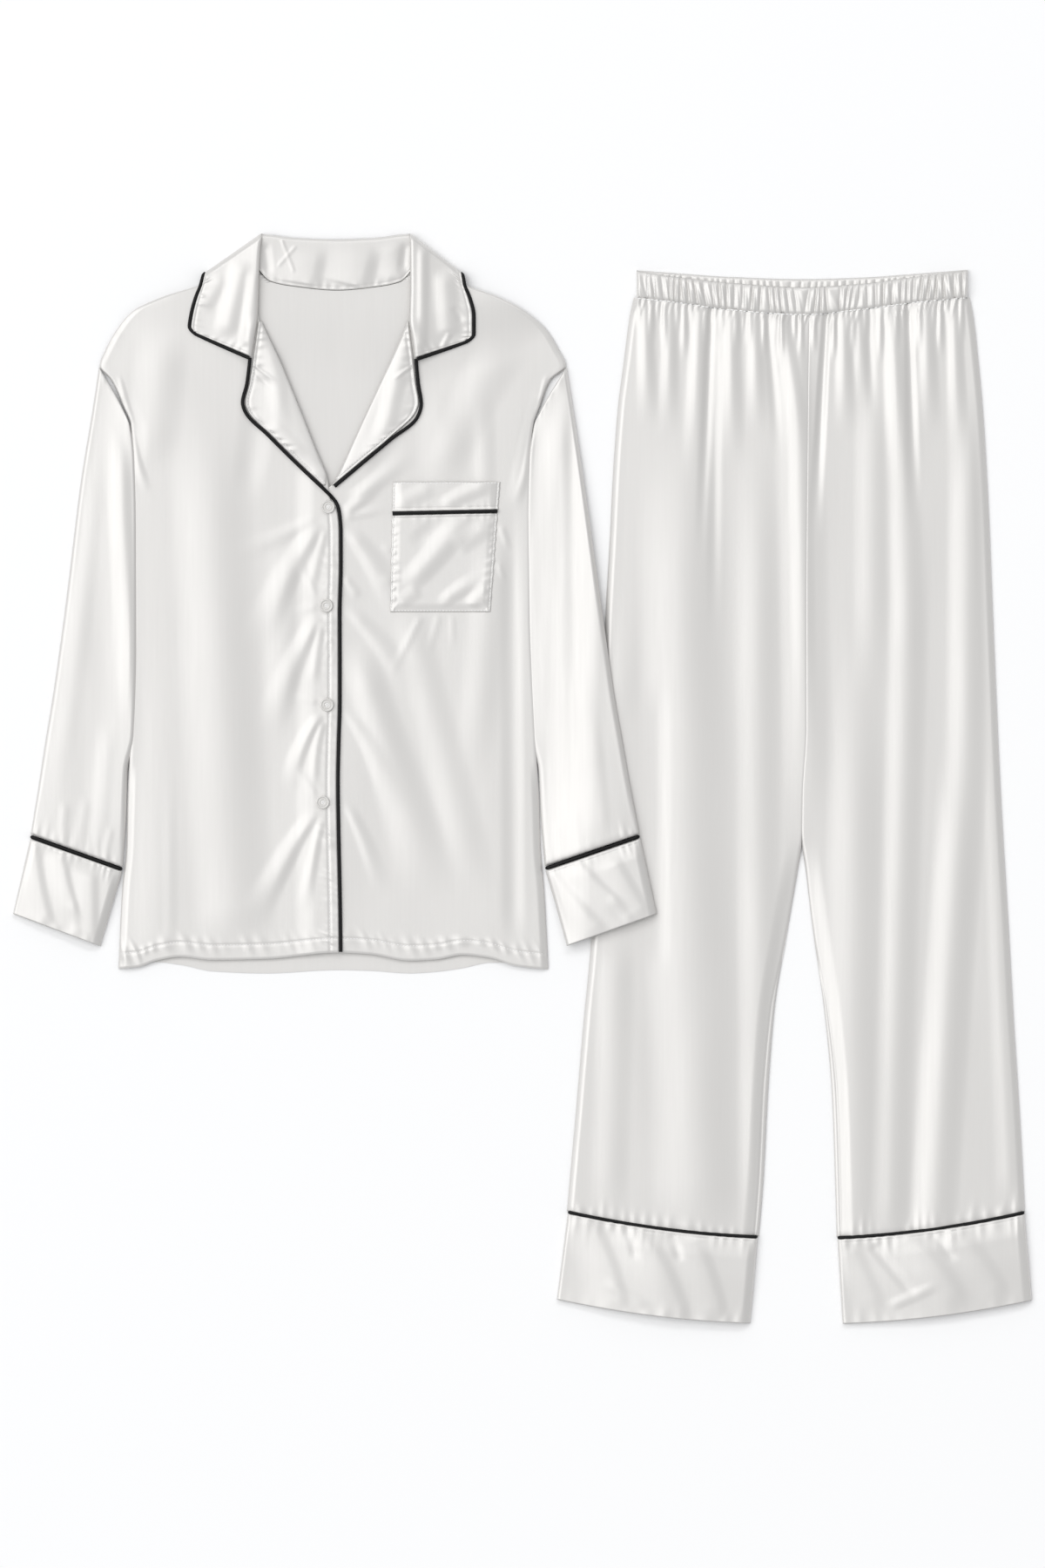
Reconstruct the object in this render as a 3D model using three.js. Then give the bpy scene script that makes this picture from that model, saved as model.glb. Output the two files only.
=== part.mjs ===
// A satin pyjama set laid out flat, face up: a long-sleeved shirt with a notched collar beside a pair of
// wide trousers, the wearer's left cuff lying on the trousers' leg.
// Millimetres, +Z up, +Y towards the collar.
// "right" and "left" are the wearer's, so right pieces lie towards -X.
// Each piece of cloth is a wall of its own. Pieces that are sewn together stop SEAM_GAP apart.
import * as THREE from "three";

// Driving dimensions
const CLOTH = 1.2; // one layer of satin with its turnings
const SEAM_GAP = 0.3;
const PIPING_RADIUS = 1.7;
const COLLAR_CLOTH = 1.5; // two layers and an interfacing
const ELASTIC_CLOTH = 2.4; // casing with the elastic in it
const BUTTON = { radius: 6.25, thickness: 2.2, chamfer: 1.2, foot: 0.8, rim: 1.6, dish: 0.9 };
const SHIRT_PLACE = { x: -178.5, y: -180.5 };
const TROUSERS_PLACE = { x: 265.3, y: -518.5 };

const PANEL_LEVEL = CLOTH + SEAM_GAP; // underside of a front that lies on a flat back
const BODY_LOFT = 2.2; // how far a front lies above the back, away from its edges
const COLLAR_RAISE = 2 * PIPING_RADIUS + 3 * SEAM_GAP; // climb of the back over the collar's fall
const PIPED_LOFT = 3.4; // loft of a sleeve or leg where the piping's ring passes round it

const COLOURS = { satin: 0xeeecea, piping: 0x0d0d0f, button: 0xf4f2ef };

// Shirt, measured from the foot of its centre line. Sides of the body, then armhole seam, then shoulder.
const SHIRT_SIDES = [
  { y: -6, right: -205.2, left: 203.2 },
  { y: 75, right: -201.3, left: 198.9 },
  { y: 113, right: -197.6, left: 195.6 },
  { y: 163, right: -196.0, left: 194.0 },
  { y: 199, right: -194.2, left: 191.9 },
  { y: 240, right: -193.0, left: 190.0 },
  { y: 340, right: -190.4, left: 186.1 },
  { y: 484, right: -191.7, left: 185.6 },
  { y: 514, right: -193.0, left: 188.3 },
  { y: 537, right: -201.8, left: 196.4 },
  { y: 559, right: -212.4, left: 205.8 },
  { y: 572, right: -222.8, left: 219.8 },
  { y: 588, right: -217.0, left: 212.7 },
  { y: 606, right: -206.8, left: 201.5 },
  { y: 624, right: -191.2, left: 180.5 },
  { y: 637, right: -164.0, left: 156.0 },
  { y: 649, right: -126.0, left: 123.0 },
  { y: 668, right: -77.5, left: 79.5 },
];
// Rise and fall of the two hems across the shirt.
const SHIRT_HEM = [
  { x: -205, front: 0.2, back: 2.0 },
  { x: -187, front: 1.7, back: 5.0 },
  { x: -169, front: 7.9, back: 6.5 },
  { x: -146, front: 11.6, back: 4.0 },
  { x: -116, front: 8.6, back: -2.0 },
  { x: -65, front: 9.6, back: -4.0 },
  { x: 3, front: 15.6, back: -0.8 },
  { x: 34, front: 14.0, back: -1.5 },
  { x: 72, front: 7.9, back: -4.0 },
  { x: 97, front: 9.1, back: -2.5 },
  { x: 122, front: 13.4, back: 1.0 },
  { x: 148, front: 10.4, back: 6.0 },
  { x: 173, front: 2.8, back: 5.5 },
  { x: 203, front: -0.5, back: 1.5 },
];
// Piping down the right lapel and the front edge, from the notch to the hem.
const RIGHT_EDGE = [
  { x: -80.4, y: 575.6 },
  { x: -82.9, y: 555.0 },
  { x: -87.0, y: 537.0 },
  { x: -84.6, y: 528.8 },
  { x: -62.0, y: 505.5 },
  { x: -38.2, y: 481.8 },
  { x: -21.2, y: 465.6 },
  { x: -9.1, y: 454.3 },
  { x: -2.4, y: 447.6 },
  { x: 2.7, y: 440.6 },
  { x: 5.0, y: 431.4 },
  { x: 6.2, y: 416.0 },
  { x: 6.3, y: 385.0 },
  { x: 5.2, y: 335.5 },
  { x: 5.3, y: 295.0 },
  { x: 5.3, y: 253.0 },
  { x: 4.2, y: 215.0 },
  { x: 3.5, y: 177.0 },
  { x: 4.0, y: 135.0 },
  { x: 5.0, y: 90.0 },
  { x: 5.8, y: 44.2 },
  { x: 6.1, y: 16.2 },
];
const LEFT_EDGE = [
  { x: 78.1, y: 574.4 },
  { x: 79.6, y: 555.3 },
  { x: 82.4, y: 535.5 },
  { x: 78.5, y: 523.0 },
  { x: 54.0, y: 502.5 },
  { x: 26.0, y: 479.2 },
  { x: 0.2, y: 457.6 },
];
// Lapels by height: the roll line at the neck opening, and the outer edge.
const LAPELS = [
  { y: 459.0, rightRoll: -8.0, rightOuter: -11.5, leftRoll: -2.4, leftOuter: -0.8 },
  { y: 466.0, rightRoll: -7.2, rightOuter: -19.0, leftRoll: 1.8, leftOuter: 7.8 },
  { y: 482.0, rightRoll: -13.4, rightOuter: -35.8, leftRoll: 9.8, leftOuter: 26.8 },
  { y: 505.0, rightRoll: -22.4, rightOuter: -58.8, leftRoll: 20.2, leftOuter: 54.2 },
  { y: 529.0, rightRoll: -31.8, rightOuter: -82.2, leftRoll: 31.2, leftOuter: 78.0 },
  { y: 537.0, rightRoll: -35.0, rightOuter: -84.8, leftRoll: 34.9, leftOuter: 80.2 },
  { y: 556.0, rightRoll: -42.8, rightOuter: -80.8, leftRoll: 43.8, leftOuter: 77.4 },
  { y: 577.0, rightRoll: -51.6, rightOuter: -77.6, leftRoll: 53.6, leftOuter: 75.2 },
  { y: 598.0, rightRoll: -61.6, rightOuter: -74.6, leftRoll: 63.0, leftOuter: 72.6 },
  { y: 614.0, rightRoll: -69.0, rightOuter: -72.4, leftRoll: 69.4, leftOuter: 70.8 },
];
const NECK_EDGES = [
  { y: 420, right: 3.9, left: -19.0 },
  { y: 436, right: 1.8, left: -19.0 },
  { y: 447, right: -3.8, left: -17.0 },
  { y: 463, right: -6.2, left: 1.6 },
  { y: 505, right: -22.8, left: 20.6 },
  { y: 563, right: -46.0, left: 47.0 },
  { y: 614, right: -70.6, left: 70.8 },
  { y: 640, right: -75.6, left: 75.0 },
  { y: 668, right: -76.4, left: 78.2 },
];
// Collar from notch to notch: its fold line, its outer edge, and 1 where it lies on the front, 0 behind.
const COLLAR = [
  { foldX: -78.9, foldY: 580.4, edgeX: -133.4, edgeY: 604.2, ahead: 1 },
  { foldX: -76.0, foldY: 599.0, edgeX: -135.6, edgeY: 609.0, ahead: 1 },
  { foldX: -73.0, foldY: 620.8, edgeX: -133.6, edgeY: 622.0, ahead: 1 },
  { foldX: -72.0, foldY: 650.0, edgeX: -129.6, edgeY: 637.0, ahead: 1 },
  { foldX: -70.5, foldY: 682.0, edgeX: -125.4, edgeY: 648.5, ahead: 1 },
  { foldX: -69.4, foldY: 691.0, edgeX: -124.0, edgeY: 654.0, ahead: 1 },
  { foldX: -69.0, foldY: 697.2, edgeX: -121.6, edgeY: 660.6, ahead: 0.5 },
  { foldX: -65.5, foldY: 696.8, edgeX: -117.0, edgeY: 659.6, ahead: 0.06 },
  { foldX: -61.0, foldY: 695.6, edgeX: -107.0, edgeY: 648.0, ahead: 0 },
  { foldX: -37.0, foldY: 693.6, edgeX: -66.0, edgeY: 638.5, ahead: 0 },
  { foldX: 1.5, foldY: 692.0, edgeX: 1.0, edgeY: 632.0, ahead: 0 },
  { foldX: 39.0, foldY: 693.6, edgeX: 66.0, edgeY: 638.5, ahead: 0 },
  { foldX: 63.0, foldY: 695.6, edgeX: 106.0, edgeY: 648.0, ahead: 0 },
  { foldX: 67.6, foldY: 696.8, edgeX: 114.8, edgeY: 659.6, ahead: 0.06 },
  { foldX: 71.7, foldY: 697.2, edgeX: 119.4, edgeY: 660.6, ahead: 0.5 },
  { foldX: 72.2, foldY: 691.0, edgeX: 121.4, edgeY: 654.0, ahead: 1 },
  { foldX: 72.4, foldY: 682.0, edgeX: 122.4, edgeY: 648.5, ahead: 1 },
  { foldX: 72.4, foldY: 650.0, edgeX: 127.0, edgeY: 636.0, ahead: 1 },
  { foldX: 71.7, foldY: 617.0, edgeX: 130.6, edgeY: 619.0, ahead: 1 },
  { foldX: 74.2, foldY: 598.0, edgeX: 130.6, edgeY: 602.0, ahead: 1 },
  { foldX: 76.6, foldY: 579.4, edgeX: 127.6, edgeY: 596.8, ahead: 1 },
];
const STAND_GAP = 2.4; // between the stand and the back, where the neck seam turns
const STAND_LEAN = 1.6; // how much higher the stand is at its fold than at the neck seam
const ROLL = 5; // depth of the stand where it is rolled flat under the front of the collar
const STAND_LIFT = 0.2; // how far that roll stays above the lowest place of the fall
const ROLL_RISE = 2.2; // height of the fold above the front
const ROLL_DROP = 0.6; // how far the fold at the back of the neck lies below the stand
const FALL_RISE = 3.9; // height that the fall keeps beside the fold and loses towards its edge
// Sleeves by distance down the arm: outer edge and the edge beside the body.
const SLEEVE_RIGHT = [
  { s: 0.0, outerX: -223.5, outerY: 570.6, innerX: -193.7, innerY: 515.2 },
  { s: 0.1, outerX: -229.6, outerY: 530.0, innerX: -188.5, innerY: 484.0 },
  { s: 0.25, outerX: -240.2, outerY: 465.0, innerX: -186.5, innerY: 420.0 },
  { s: 0.5, outerX: -254.6, outerY: 349.0, innerX: -186.0, innerY: 310.0 },
  { s: 0.7, outerX: -267.6, outerY: 256.0, innerX: -188.5, innerY: 221.0 },
  { s: 0.78, outerX: -273.8, outerY: 219.0, innerX: -195.6, innerY: 188.0 },
  { s: 0.9, outerX: -281.6, outerY: 168.0, innerX: -197.8, innerY: 137.0 },
  { s: 1.0, outerX: -288.2, outerY: 127.8, innerX: -200.8, innerY: 96.6 },
];
const SLEEVE_LEFT = [
  { s: 0.0, outerX: 220.6, outerY: 570.6, innerX: 188.8, innerY: 515.2 },
  { s: 0.1, outerX: 227.0, outerY: 530.0, innerX: 183.5, innerY: 484.0 },
  { s: 0.25, outerX: 236.6, outerY: 465.0, innerX: 181.0, innerY: 420.0 },
  { s: 0.5, outerX: 252.8, outerY: 349.0, innerX: 182.5, innerY: 310.0 },
  { s: 0.7, outerX: 266.2, outerY: 256.0, innerX: 186.0, innerY: 221.0 },
  { s: 0.78, outerX: 272.2, outerY: 222.0, innerX: 193.4, innerY: 188.0 },
  { s: 0.9, outerX: 281.6, outerY: 168.0, innerX: 196.2, innerY: 138.0 },
  { s: 1.0, outerX: 289.2, outerY: 128.4, innerX: 199.6, innerY: 97.6 },
];
const CUFF_RIGHT = [
  { s: 0.0, outerX: -288.6, outerY: 123.6, innerX: -201.2, innerY: 92.4 },
  { s: 0.5, outerX: -296.8, outerY: 88.0, innerX: -211.7, innerY: 56.6 },
  { s: 1.0, outerX: -305.0, outerY: 52.1, innerX: -222.1, innerY: 21.2 },
];
const CUFF_LEFT = [
  { s: 0.0, outerX: 290.2, outerY: 123.8, innerX: 200.4, innerY: 93.0 },
  { s: 0.5, outerX: 298.0, outerY: 88.0, innerX: 210.6, innerY: 57.5 },
  { s: 1.0, outerX: 305.8, outerY: 52.1, innerX: 220.6, innerY: 21.6 },
];
// Chest pocket: its sides at half height and how far each leans outwards, and the rise of its seam.
const POCKET = {
  left: 54.0,
  right: 152.9,
  leanLeft: 2.7,
  leanRight: 9.1,
  foot: 338.4,
  seam: 432.0,
  top: 462.0,
  rise: 2.2,
};
const BUTTONS = [
  { x: -5.8, y: 438.2 },
  { x: -7.6, y: 344.6 },
  { x: -6.9, y: 250.5 },
  { x: -10.9, y: 158.1 },
];
// Largest soft folds of the shirt's body: foot and head of each crest, its half width and its height.
const SHIRT_FOLDS = [
  { x1: -134, y1: 30, x2: -122, y2: 470, wide: 34, high: 4.0 },
  { x1: -172, y1: 30, x2: -166, y2: 330, wide: 20, high: 2.4 },
  { x1: -84, y1: 30, x2: -96, y2: 330, wide: 30, high: 2.6 },
  { x1: -66, y1: 250, x2: -22, y2: 418, wide: 22, high: 4.2 },
  { x1: -50, y1: 150, x2: -22, y2: 330, wide: 17, high: 3.6 },
  { x1: -54, y1: 40, x2: -24, y2: 238, wide: 19, high: 3.8 },
  { x1: -118, y1: 480, x2: -172, y2: 590, wide: 22, high: 2.6 },
  { x1: 74, y1: 170, x2: 24, y2: 395, wide: 22, high: 3.6 },
  { x1: 106, y1: 60, x2: 62, y2: 300, wide: 26, high: 3.8 },
  { x1: 128, y1: 160, x2: 138, y2: 310, wide: 20, high: 2.8 },
  { x1: 52, y1: 30, x2: 30, y2: 200, wide: 18, high: 2.6 },
  { x1: 170, y1: 30, x2: 172, y2: 480, wide: 14, high: 2.6 },
  { x1: 128, y1: 490, x2: 176, y2: 594, wide: 24, high: 2.8 },
];

// Trousers, measured from the foot of their centre line.
const TROUSER_SIDES = [
  { y: 104, right: -222.4, left: 210.8 },
  { y: 194, right: -215.4, left: 206.6 },
  { y: 283, right: -207.9, left: 201.0 },
  { y: 369, right: -200.0, left: 196.2 },
  { y: 517, right: -192.6, left: 187.6 },
  { y: 665, right: -187.0, left: 181.2 },
  { y: 751, right: -182.3, left: 177.8 },
  { y: 806, right: -179.6, left: 175.2 },
  { y: 872, right: -174.7, left: 171.0 },
  { y: 916, right: -168.6, left: 166.6 },
  { y: 952, right: -163.1, left: 161.8 },
  { y: 975, right: -157.2, left: 156.6 },
];
// Centre seam above the crotch, inseam edges below it.
const TROUSER_INNER = [
  { y: 86, right: -41.9, left: 33.1 },
  { y: 150, right: -36.4, left: 31.1 },
  { y: 224, right: -32.3, left: 28.0 },
  { y: 300, right: -26.4, left: 20.9 },
  { y: 371, right: -14.7, left: 10.8 },
  { y: 431, right: -4.4, left: 3.4 },
  { y: 456, right: -0.6, left: 0.4 },
  { y: 502, right: 0.3, left: 0.7 },
  { y: 568, right: 3.9, left: 4.3 },
  { y: 679, right: 3.9, left: 4.3 },
  { y: 850, right: 5.3, left: 5.7 },
  { y: 975, right: 6.7, left: 7.1 },
];
// Waist seam and the two top edges of the waistband, across.
const WAIST = [
  { x: -157, seam: 974.3, front: 1000.2, back: 1000.9 },
  { x: -123, seam: 970.8, front: 994.8, back: 998.4 },
  { x: -69, seam: 963.4, front: 988.8, back: 994.7 },
  { x: 0, seam: 958.8, front: 984.6, back: 992.6 },
  { x: 55, seam: 963.6, front: 987.8, back: 994.0 },
  { x: 110, seam: 970.6, front: 995.0, back: 997.8 },
  { x: 157, seam: 974.8, front: 1000.6, back: 1001.4 },
];
// Piped seam above each leg's band, and the hem below it, from the side seam to the inseam.
const BAND_RIGHT = [
  { s: 0.0, outerX: -222.4, outerY: 107.6, innerX: -42.2, innerY: 84.0 },
  { s: 0.5, outerX: -227.6, outerY: 66.0, innerX: -45.6, innerY: 43.0 },
  { s: 1.0, outerX: -232.8, outerY: 24.2, innerX: -49.3, innerY: 1.6 },
];
const BAND_LEFT = [
  { s: 0.0, outerX: 211.0, outerY: 107.2, innerX: 33.4, innerY: 83.2 },
  { s: 0.5, outerX: 214.6, outerY: 65.0, innerX: 35.8, innerY: 42.0 },
  { s: 1.0, outerX: 218.2, outerY: 23.6, innerX: 38.4, innerY: 1.2 },
];
const BAND_SAG = 4.2; // how far the middle of the leg's seam and hem hangs below a straight line
const TROUSER_FOLDS = [
  { x1: -132, y1: 120, x2: -130, y2: 900, wide: 30, high: 4.6 },
  { x1: -66, y1: 130, x2: -60, y2: 880, wide: 28, high: 4.4 },
  { x1: -22, y1: 430, x2: -12, y2: 860, wide: 15, high: 2.8 },
  { x1: 26, y1: 300, x2: 20, y2: 900, wide: 13, high: 3.6 },
  { x1: 52, y1: 120, x2: 58, y2: 640, wide: 20, high: 2.6 },
  { x1: 98, y1: 130, x2: 94, y2: 900, wide: 26, high: 4.8 },
  { x1: 176, y1: 160, x2: 150, y2: 860, wide: 26, high: 3.4 },
  { x1: -104, y1: 620, x2: -98, y2: 945, wide: 14, high: 2.6 },
  { x1: -30, y1: 720, x2: -36, y2: 945, wide: 11, high: 2.4 },
  { x1: 64, y1: 700, x2: 62, y2: 945, wide: 13, high: 2.6 },
  { x1: 126, y1: 720, x2: 118, y2: 945, wide: 12, high: 2.4 },
];
const BAND_WAVES = 44; // gathers of the elastic across one face of the waistband
const BAND_WAVE_HEIGHT = 1.1;
const WAVE_STEPS = [0, 1, 0.35]; // heights at the three columns of one gather, which leans to one side
const LEG_GATHERS = 9; // gathers below the waist seam on each leg's front
const LEG_GATHER_HEIGHT = 2.6;
const LEG_GATHER_FADE = 70; // how far down they run

const clamp01 = (t) => Math.min(1, Math.max(0, t));
const ease = (t) => clamp01(t) ** 2 * (3 - 2 * clamp01(t));
const mix = (a, b, t) => a + (b - a) * t;

// A smooth function through a table's rows, from one column to another. It never overshoots a row.
function through(rows, from, to) {
  const at = rows.map((row) => row[from]);
  const value = rows.map((row) => row[to]);
  const last = at.length - 1;
  const slope = (k) => (value[k + 1] - value[k]) / (at[k + 1] - at[k]);
  const tangent = value.map((_, k) => {
    const before = slope(Math.max(0, k - 1));
    const after = slope(Math.min(last - 1, k));
    return before * after <= 0 ? 0 : (2 * before * after) / (before + after);
  });
  return (x) => {
    if (x <= at[0]) return value[0];
    if (x >= at[last]) return value[last];
    let k = 0;
    while (x > at[k + 1]) k += 1;
    const run = at[k + 1] - at[k];
    const t = (x - at[k]) / run;
    const rise = run * t * (1 - t) * (tangent[k] * (1 - t) - tangent[k + 1] * t);
    return mix(value[k], value[k + 1], t * t * (3 - 2 * t)) + rise;
  };
}

const FOLD_FADE = 0.3; // share of a fold's length over which it fades out at each end

// Height that one soft fold adds at a place: a rounded crest that fades out at both ends.
function crest(fold, x, y) {
  const along = { x: fold.x2 - fold.x1, y: fold.y2 - fold.y1 };
  const length = Math.hypot(along.x, along.y);
  const t = ((x - fold.x1) * along.x + (y - fold.y1) * along.y) / length ** 2;
  const off = Math.abs((x - fold.x1) * along.y - (y - fold.y1) * along.x) / length;
  if (t <= 0 || t >= 1 || off >= fold.wide) return 0;
  const profile = 0.5 * (1 + Math.cos((Math.PI * off) / fold.wide));
  return fold.high * profile * ease(t / FOLD_FADE) * ease((1 - t) / FOLD_FADE);
}
const foldsAt = (folds, x, y) => folds.reduce((sum, fold) => sum + crest(fold, x, y), 0);

// A closed wall between two grids of points. A ring's columns close on themselves.
function wall(upper, lower, ring = false) {
  const columns = upper.length;
  const rows = upper[0].length;
  const points = [...upper.flat(), ...lower.flat()];
  const index = [];
  const quad = (a, b, c, d) => index.push(a, b, c, a, c, d);
  const top = (i, j) => (i % columns) * rows + j;
  const under = (i, j) => columns * rows + top(i, j);
  const spans = ring ? columns : columns - 1;
  for (let i = 0; i < spans; i += 1) {
    for (let j = 0; j < rows - 1; j += 1) {
      quad(top(i, j), top(i + 1, j), top(i + 1, j + 1), top(i, j + 1));
      quad(under(i, j), under(i, j + 1), under(i + 1, j + 1), under(i + 1, j));
    }
    quad(under(i, 0), under(i + 1, 0), top(i + 1, 0), top(i, 0));
    quad(top(i, rows - 1), top(i + 1, rows - 1), under(i + 1, rows - 1), under(i, rows - 1));
  }
  if (!ring) {
    for (let j = 0; j < rows - 1; j += 1) {
      quad(top(0, j), top(0, j + 1), under(0, j + 1), under(0, j));
      const end = columns - 1;
      quad(under(end, j), under(end, j + 1), top(end, j + 1), top(end, j));
    }
  }
  return facingOut(points, index);
}

// A geometry from points and triangles, turned so that its faces point outwards.
function facingOut(points, index) {
  const volume = new THREE.Vector3();
  let sum = 0;
  for (let k = 0; k < index.length; k += 3) {
    const [a, b, c] = [points[index[k]], points[index[k + 1]], points[index[k + 2]]];
    sum += volume.crossVectors(b, c).dot(a);
  }
  const order = sum < 0 ? [...index].reverse() : index;
  const geometry = new THREE.BufferGeometry();
  const numbers = points.flatMap((p) => [p.x, p.y, p.z]);
  geometry.setAttribute("position", new THREE.Float32BufferAttribute(numbers, 3));
  geometry.setIndex(order);
  geometry.computeVertexNormals();
  return geometry;
}

const grid = (us, vs, place) => us.map((u) => vs.map((v) => place(u, v)));
const steps = (count) => Array.from({ length: count + 1 }, (_, k) => k / count);
const raised = (points, rise) =>
  points.map((row) => row.map((p) => new THREE.Vector3(p.x, p.y, p.z + rise)));

// Height of a grid's own facets above a place, or -Infinity beside it.
function facetHeight(points, x, y) {
  let height = -Infinity;
  const over = (a, b, c) => {
    const area = (b.x - a.x) * (c.y - a.y) - (c.x - a.x) * (b.y - a.y);
    if (Math.abs(area) < 1e-9) return;
    const p = ((b.x - x) * (c.y - y) - (c.x - x) * (b.y - y)) / area;
    const q = ((c.x - x) * (a.y - y) - (a.x - x) * (c.y - y)) / area;
    const r = 1 - p - q;
    if (p < -1e-6 || q < -1e-6 || r < -1e-6) return;
    height = Math.max(height, p * a.z + q * b.z + r * c.z);
  };
  for (let i = 0; i < points.length - 1; i += 1) {
    for (let j = 0; j < points[0].length - 1; j += 1) {
      const [a, b, c, d] = [points[i][j], points[i + 1][j], points[i + 1][j + 1], points[i][j + 1]];
      over(a, b, c);
      over(a, c, d);
    }
  }
  return height;
}

// Highest facet of the pieces below a place, looked for within a short reach all round.
function highest(pieces, x, y, reach) {
  let height = 0;
  for (const dx of [-reach, 0, reach]) {
    for (const dy of [-reach, 0, reach]) {
      for (const piece of pieces) height = Math.max(height, facetHeight(piece, x + dx, y + dy));
    }
  }
  return height;
}

const CORD_SIDES = 6;

// A round cord through a list of points. `aside` is a direction that the cord never follows.
function cord(points, aside, closed = false) {
  const sides = CORD_SIDES;
  const count = points.length;
  const rings = points.map((p, k) => {
    const next = points[closed ? (k + 1) % count : Math.min(count - 1, k + 1)];
    const before = points[closed ? (k + count - 1) % count : Math.max(0, k - 1)];
    const along = next.clone().sub(before).normalize();
    const side = aside.clone().addScaledVector(along, -aside.dot(along)).normalize();
    const across = along.clone().cross(side);
    return steps(sides).slice(0, sides).map((t) => {
      const angle = 2 * Math.PI * t;
      const out = side.clone().multiplyScalar(Math.cos(angle)).addScaledVector(across, Math.sin(angle));
      return p.clone().addScaledVector(out, PIPING_RADIUS);
    });
  });
  const index = [];
  const spans = closed ? count : count - 1;
  for (let k = 0; k < spans; k += 1) {
    for (let n = 0; n < sides; n += 1) {
      const a = k * sides + n;
      const b = k * sides + ((n + 1) % sides);
      const c = ((k + 1) % count) * sides + ((n + 1) % sides);
      const d = ((k + 1) % count) * sides + n;
      index.push(a, b, c, a, c, d);
    }
  }
  if (!closed) {
    const end = (count - 1) * sides;
    for (let n = 1; n < sides - 1; n += 1) index.push(0, n + 1, n, end, end + n, end + n + 1);
  }
  return facingOut(rings.flat(), index);
}

function node(name, geometry, colour) {
  const rough = colour === COLOURS.button ? 0.25 : 0.4;
  const material = new THREE.MeshStandardMaterial({ color: colour, roughness: rough, metalness: 0 });
  const mesh = new THREE.Mesh(geometry, material);
  mesh.name = name;
  return mesh;
}

// Shirt body

const rightSide = through(SHIRT_SIDES, "y", "right");
const leftSide = through(SHIRT_SIDES, "y", "left");
const frontHem = through(SHIRT_HEM, "x", "front");
const backHem = through(SHIRT_HEM, "x", "back");
const rightNeck = through(NECK_EDGES, "y", "right");
const leftNeck = through(NECK_EDGES, "y", "left");
const edgeBelowCollar = through([...RIGHT_EDGE].reverse().slice(0, 13), "y", "x");
const FRONT_LEAD = 12; // the front starts its climb earlier than the back below it
const BREAK_HEIGHT = 436; // below it the right front ends at its piping, above it at the neck's roll line
const HEM_FADE = 110; // height by which the hem's rise and fall has died out
const FRONT_ROWS = [
  0, 30, 75, 120, 160, 200, 245, 290, 335, 380, 416, 436, 463, 505, 537, 572, 600, 618, 637, 652, 668,
];

// The back climbs over the collar's fall, whose hidden edge is a shallow curve.
const FALL_EDGE = { middle: 632, curve: 0.00135 };
const CLIMB = { before: 24, run: 18 };
const fallEdge = (x) => FALL_EDGE.middle + FALL_EDGE.curve * x * x;
const backRise = (x, y, lead = 0) =>
  COLLAR_RAISE * ease((y - fallEdge(x) + CLIMB.before + lead) / CLIMB.run);

// How far a front lies above its lowest place: it comes down to the back along the sides and the shoulders.
// Between SLEEVE_TOP and the armhole the sleeve is tucked under its side, which stays up.
const SLEEVE_TOP = 200;
const ARMHOLE = 560;
const TUCK_RUN = 40;
const SHOULDER = { share: 0.55, run: 60 };
const EDGE_RUN = 26;
const FOLD_RUN = 16;
function shirtLoft(x, y) {
  const side = Math.min(x - rightSide(y), leftSide(y) - x);
  const tucked = ease((y - SLEEVE_TOP + TUCK_RUN) / TUCK_RUN) * (1 - ease((y - ARMHOLE) / TUCK_RUN));
  const shoulder = mix(1, SHOULDER.share, ease((y - ARMHOLE) / SHOULDER.run));
  const loft = BODY_LOFT * shoulder * mix(ease(side / EDGE_RUN), 1, tucked);
  return loft + foldsAt(SHIRT_FOLDS, x, y) * ease(side / FOLD_RUN);
}
// The right front rises where it laps over the left one.
const LAP = { side: -31.6, run: 10, rise: 2.2, top: 463, fade: 20 };
const lapRise = (x, y) => LAP.rise * ease((x - LAP.side) / LAP.run) * (1 - ease((y - LAP.top) / LAP.fade));

function shirtFront(outer, inner, extra) {
  return grid(steps(FRONT_COLUMNS), FRONT_ROWS, (u, row) => {
    const x = mix(outer(row), inner(row), u);
    const y = row + frontHem(x) * (1 - ease(row / HEM_FADE));
    const level = PANEL_LEVEL + backRise(x, y, FRONT_LEAD);
    return new THREE.Vector3(x, y, level + shirtLoft(x, row) + extra(x, y));
  });
}
const rightInner = (y) => (y < BREAK_HEIGHT ? edgeBelowCollar(y) - PIPING_RADIUS - SEAM_GAP : rightNeck(y));
const FRONT_COLUMNS = 15;
const frontRight = shirtFront(rightSide, rightInner, lapRise);
const frontLeft = shirtFront(leftSide, leftNeck, () => 0);
const frontRightTop = raised(frontRight, CLOTH);
const frontLeftTop = raised(frontLeft, CLOTH);

// The back stops short of the sleeves, which are tucked in beside it, and ends at the neck seam.
const sleeveInnerRight = through([...SLEEVE_RIGHT].reverse(), "innerY", "innerX");
const sleeveInnerLeft = through([...SLEEVE_LEFT].reverse(), "innerY", "innerX");
const BACK_ROWS = [
  0, 60, 120, 160, 188, 204, 221, 310, 420, 484, 514, 537, 572, 606, 622, 634, 643, 652, 668,
];
const NECK_SEAM = [
  { x: -76.6, y: 668 },
  { x: -60, y: 651.6 },
  { x: -40, y: 647.3 },
  { x: 3, y: 643.3 },
  { x: 40, y: 646.6 },
  { x: 62, y: 651.2 },
  { x: 78.4, y: 668 },
];
const neckSeam = through(NECK_SEAM, "x", "y");
const TUCK = { foot: 184, head: 514, gap: 0.9 };
const beside = (y, body, sleeve, gap) => (y > TUCK.foot && y < TUCK.head ? sleeve(y) + gap : body(y));
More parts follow.
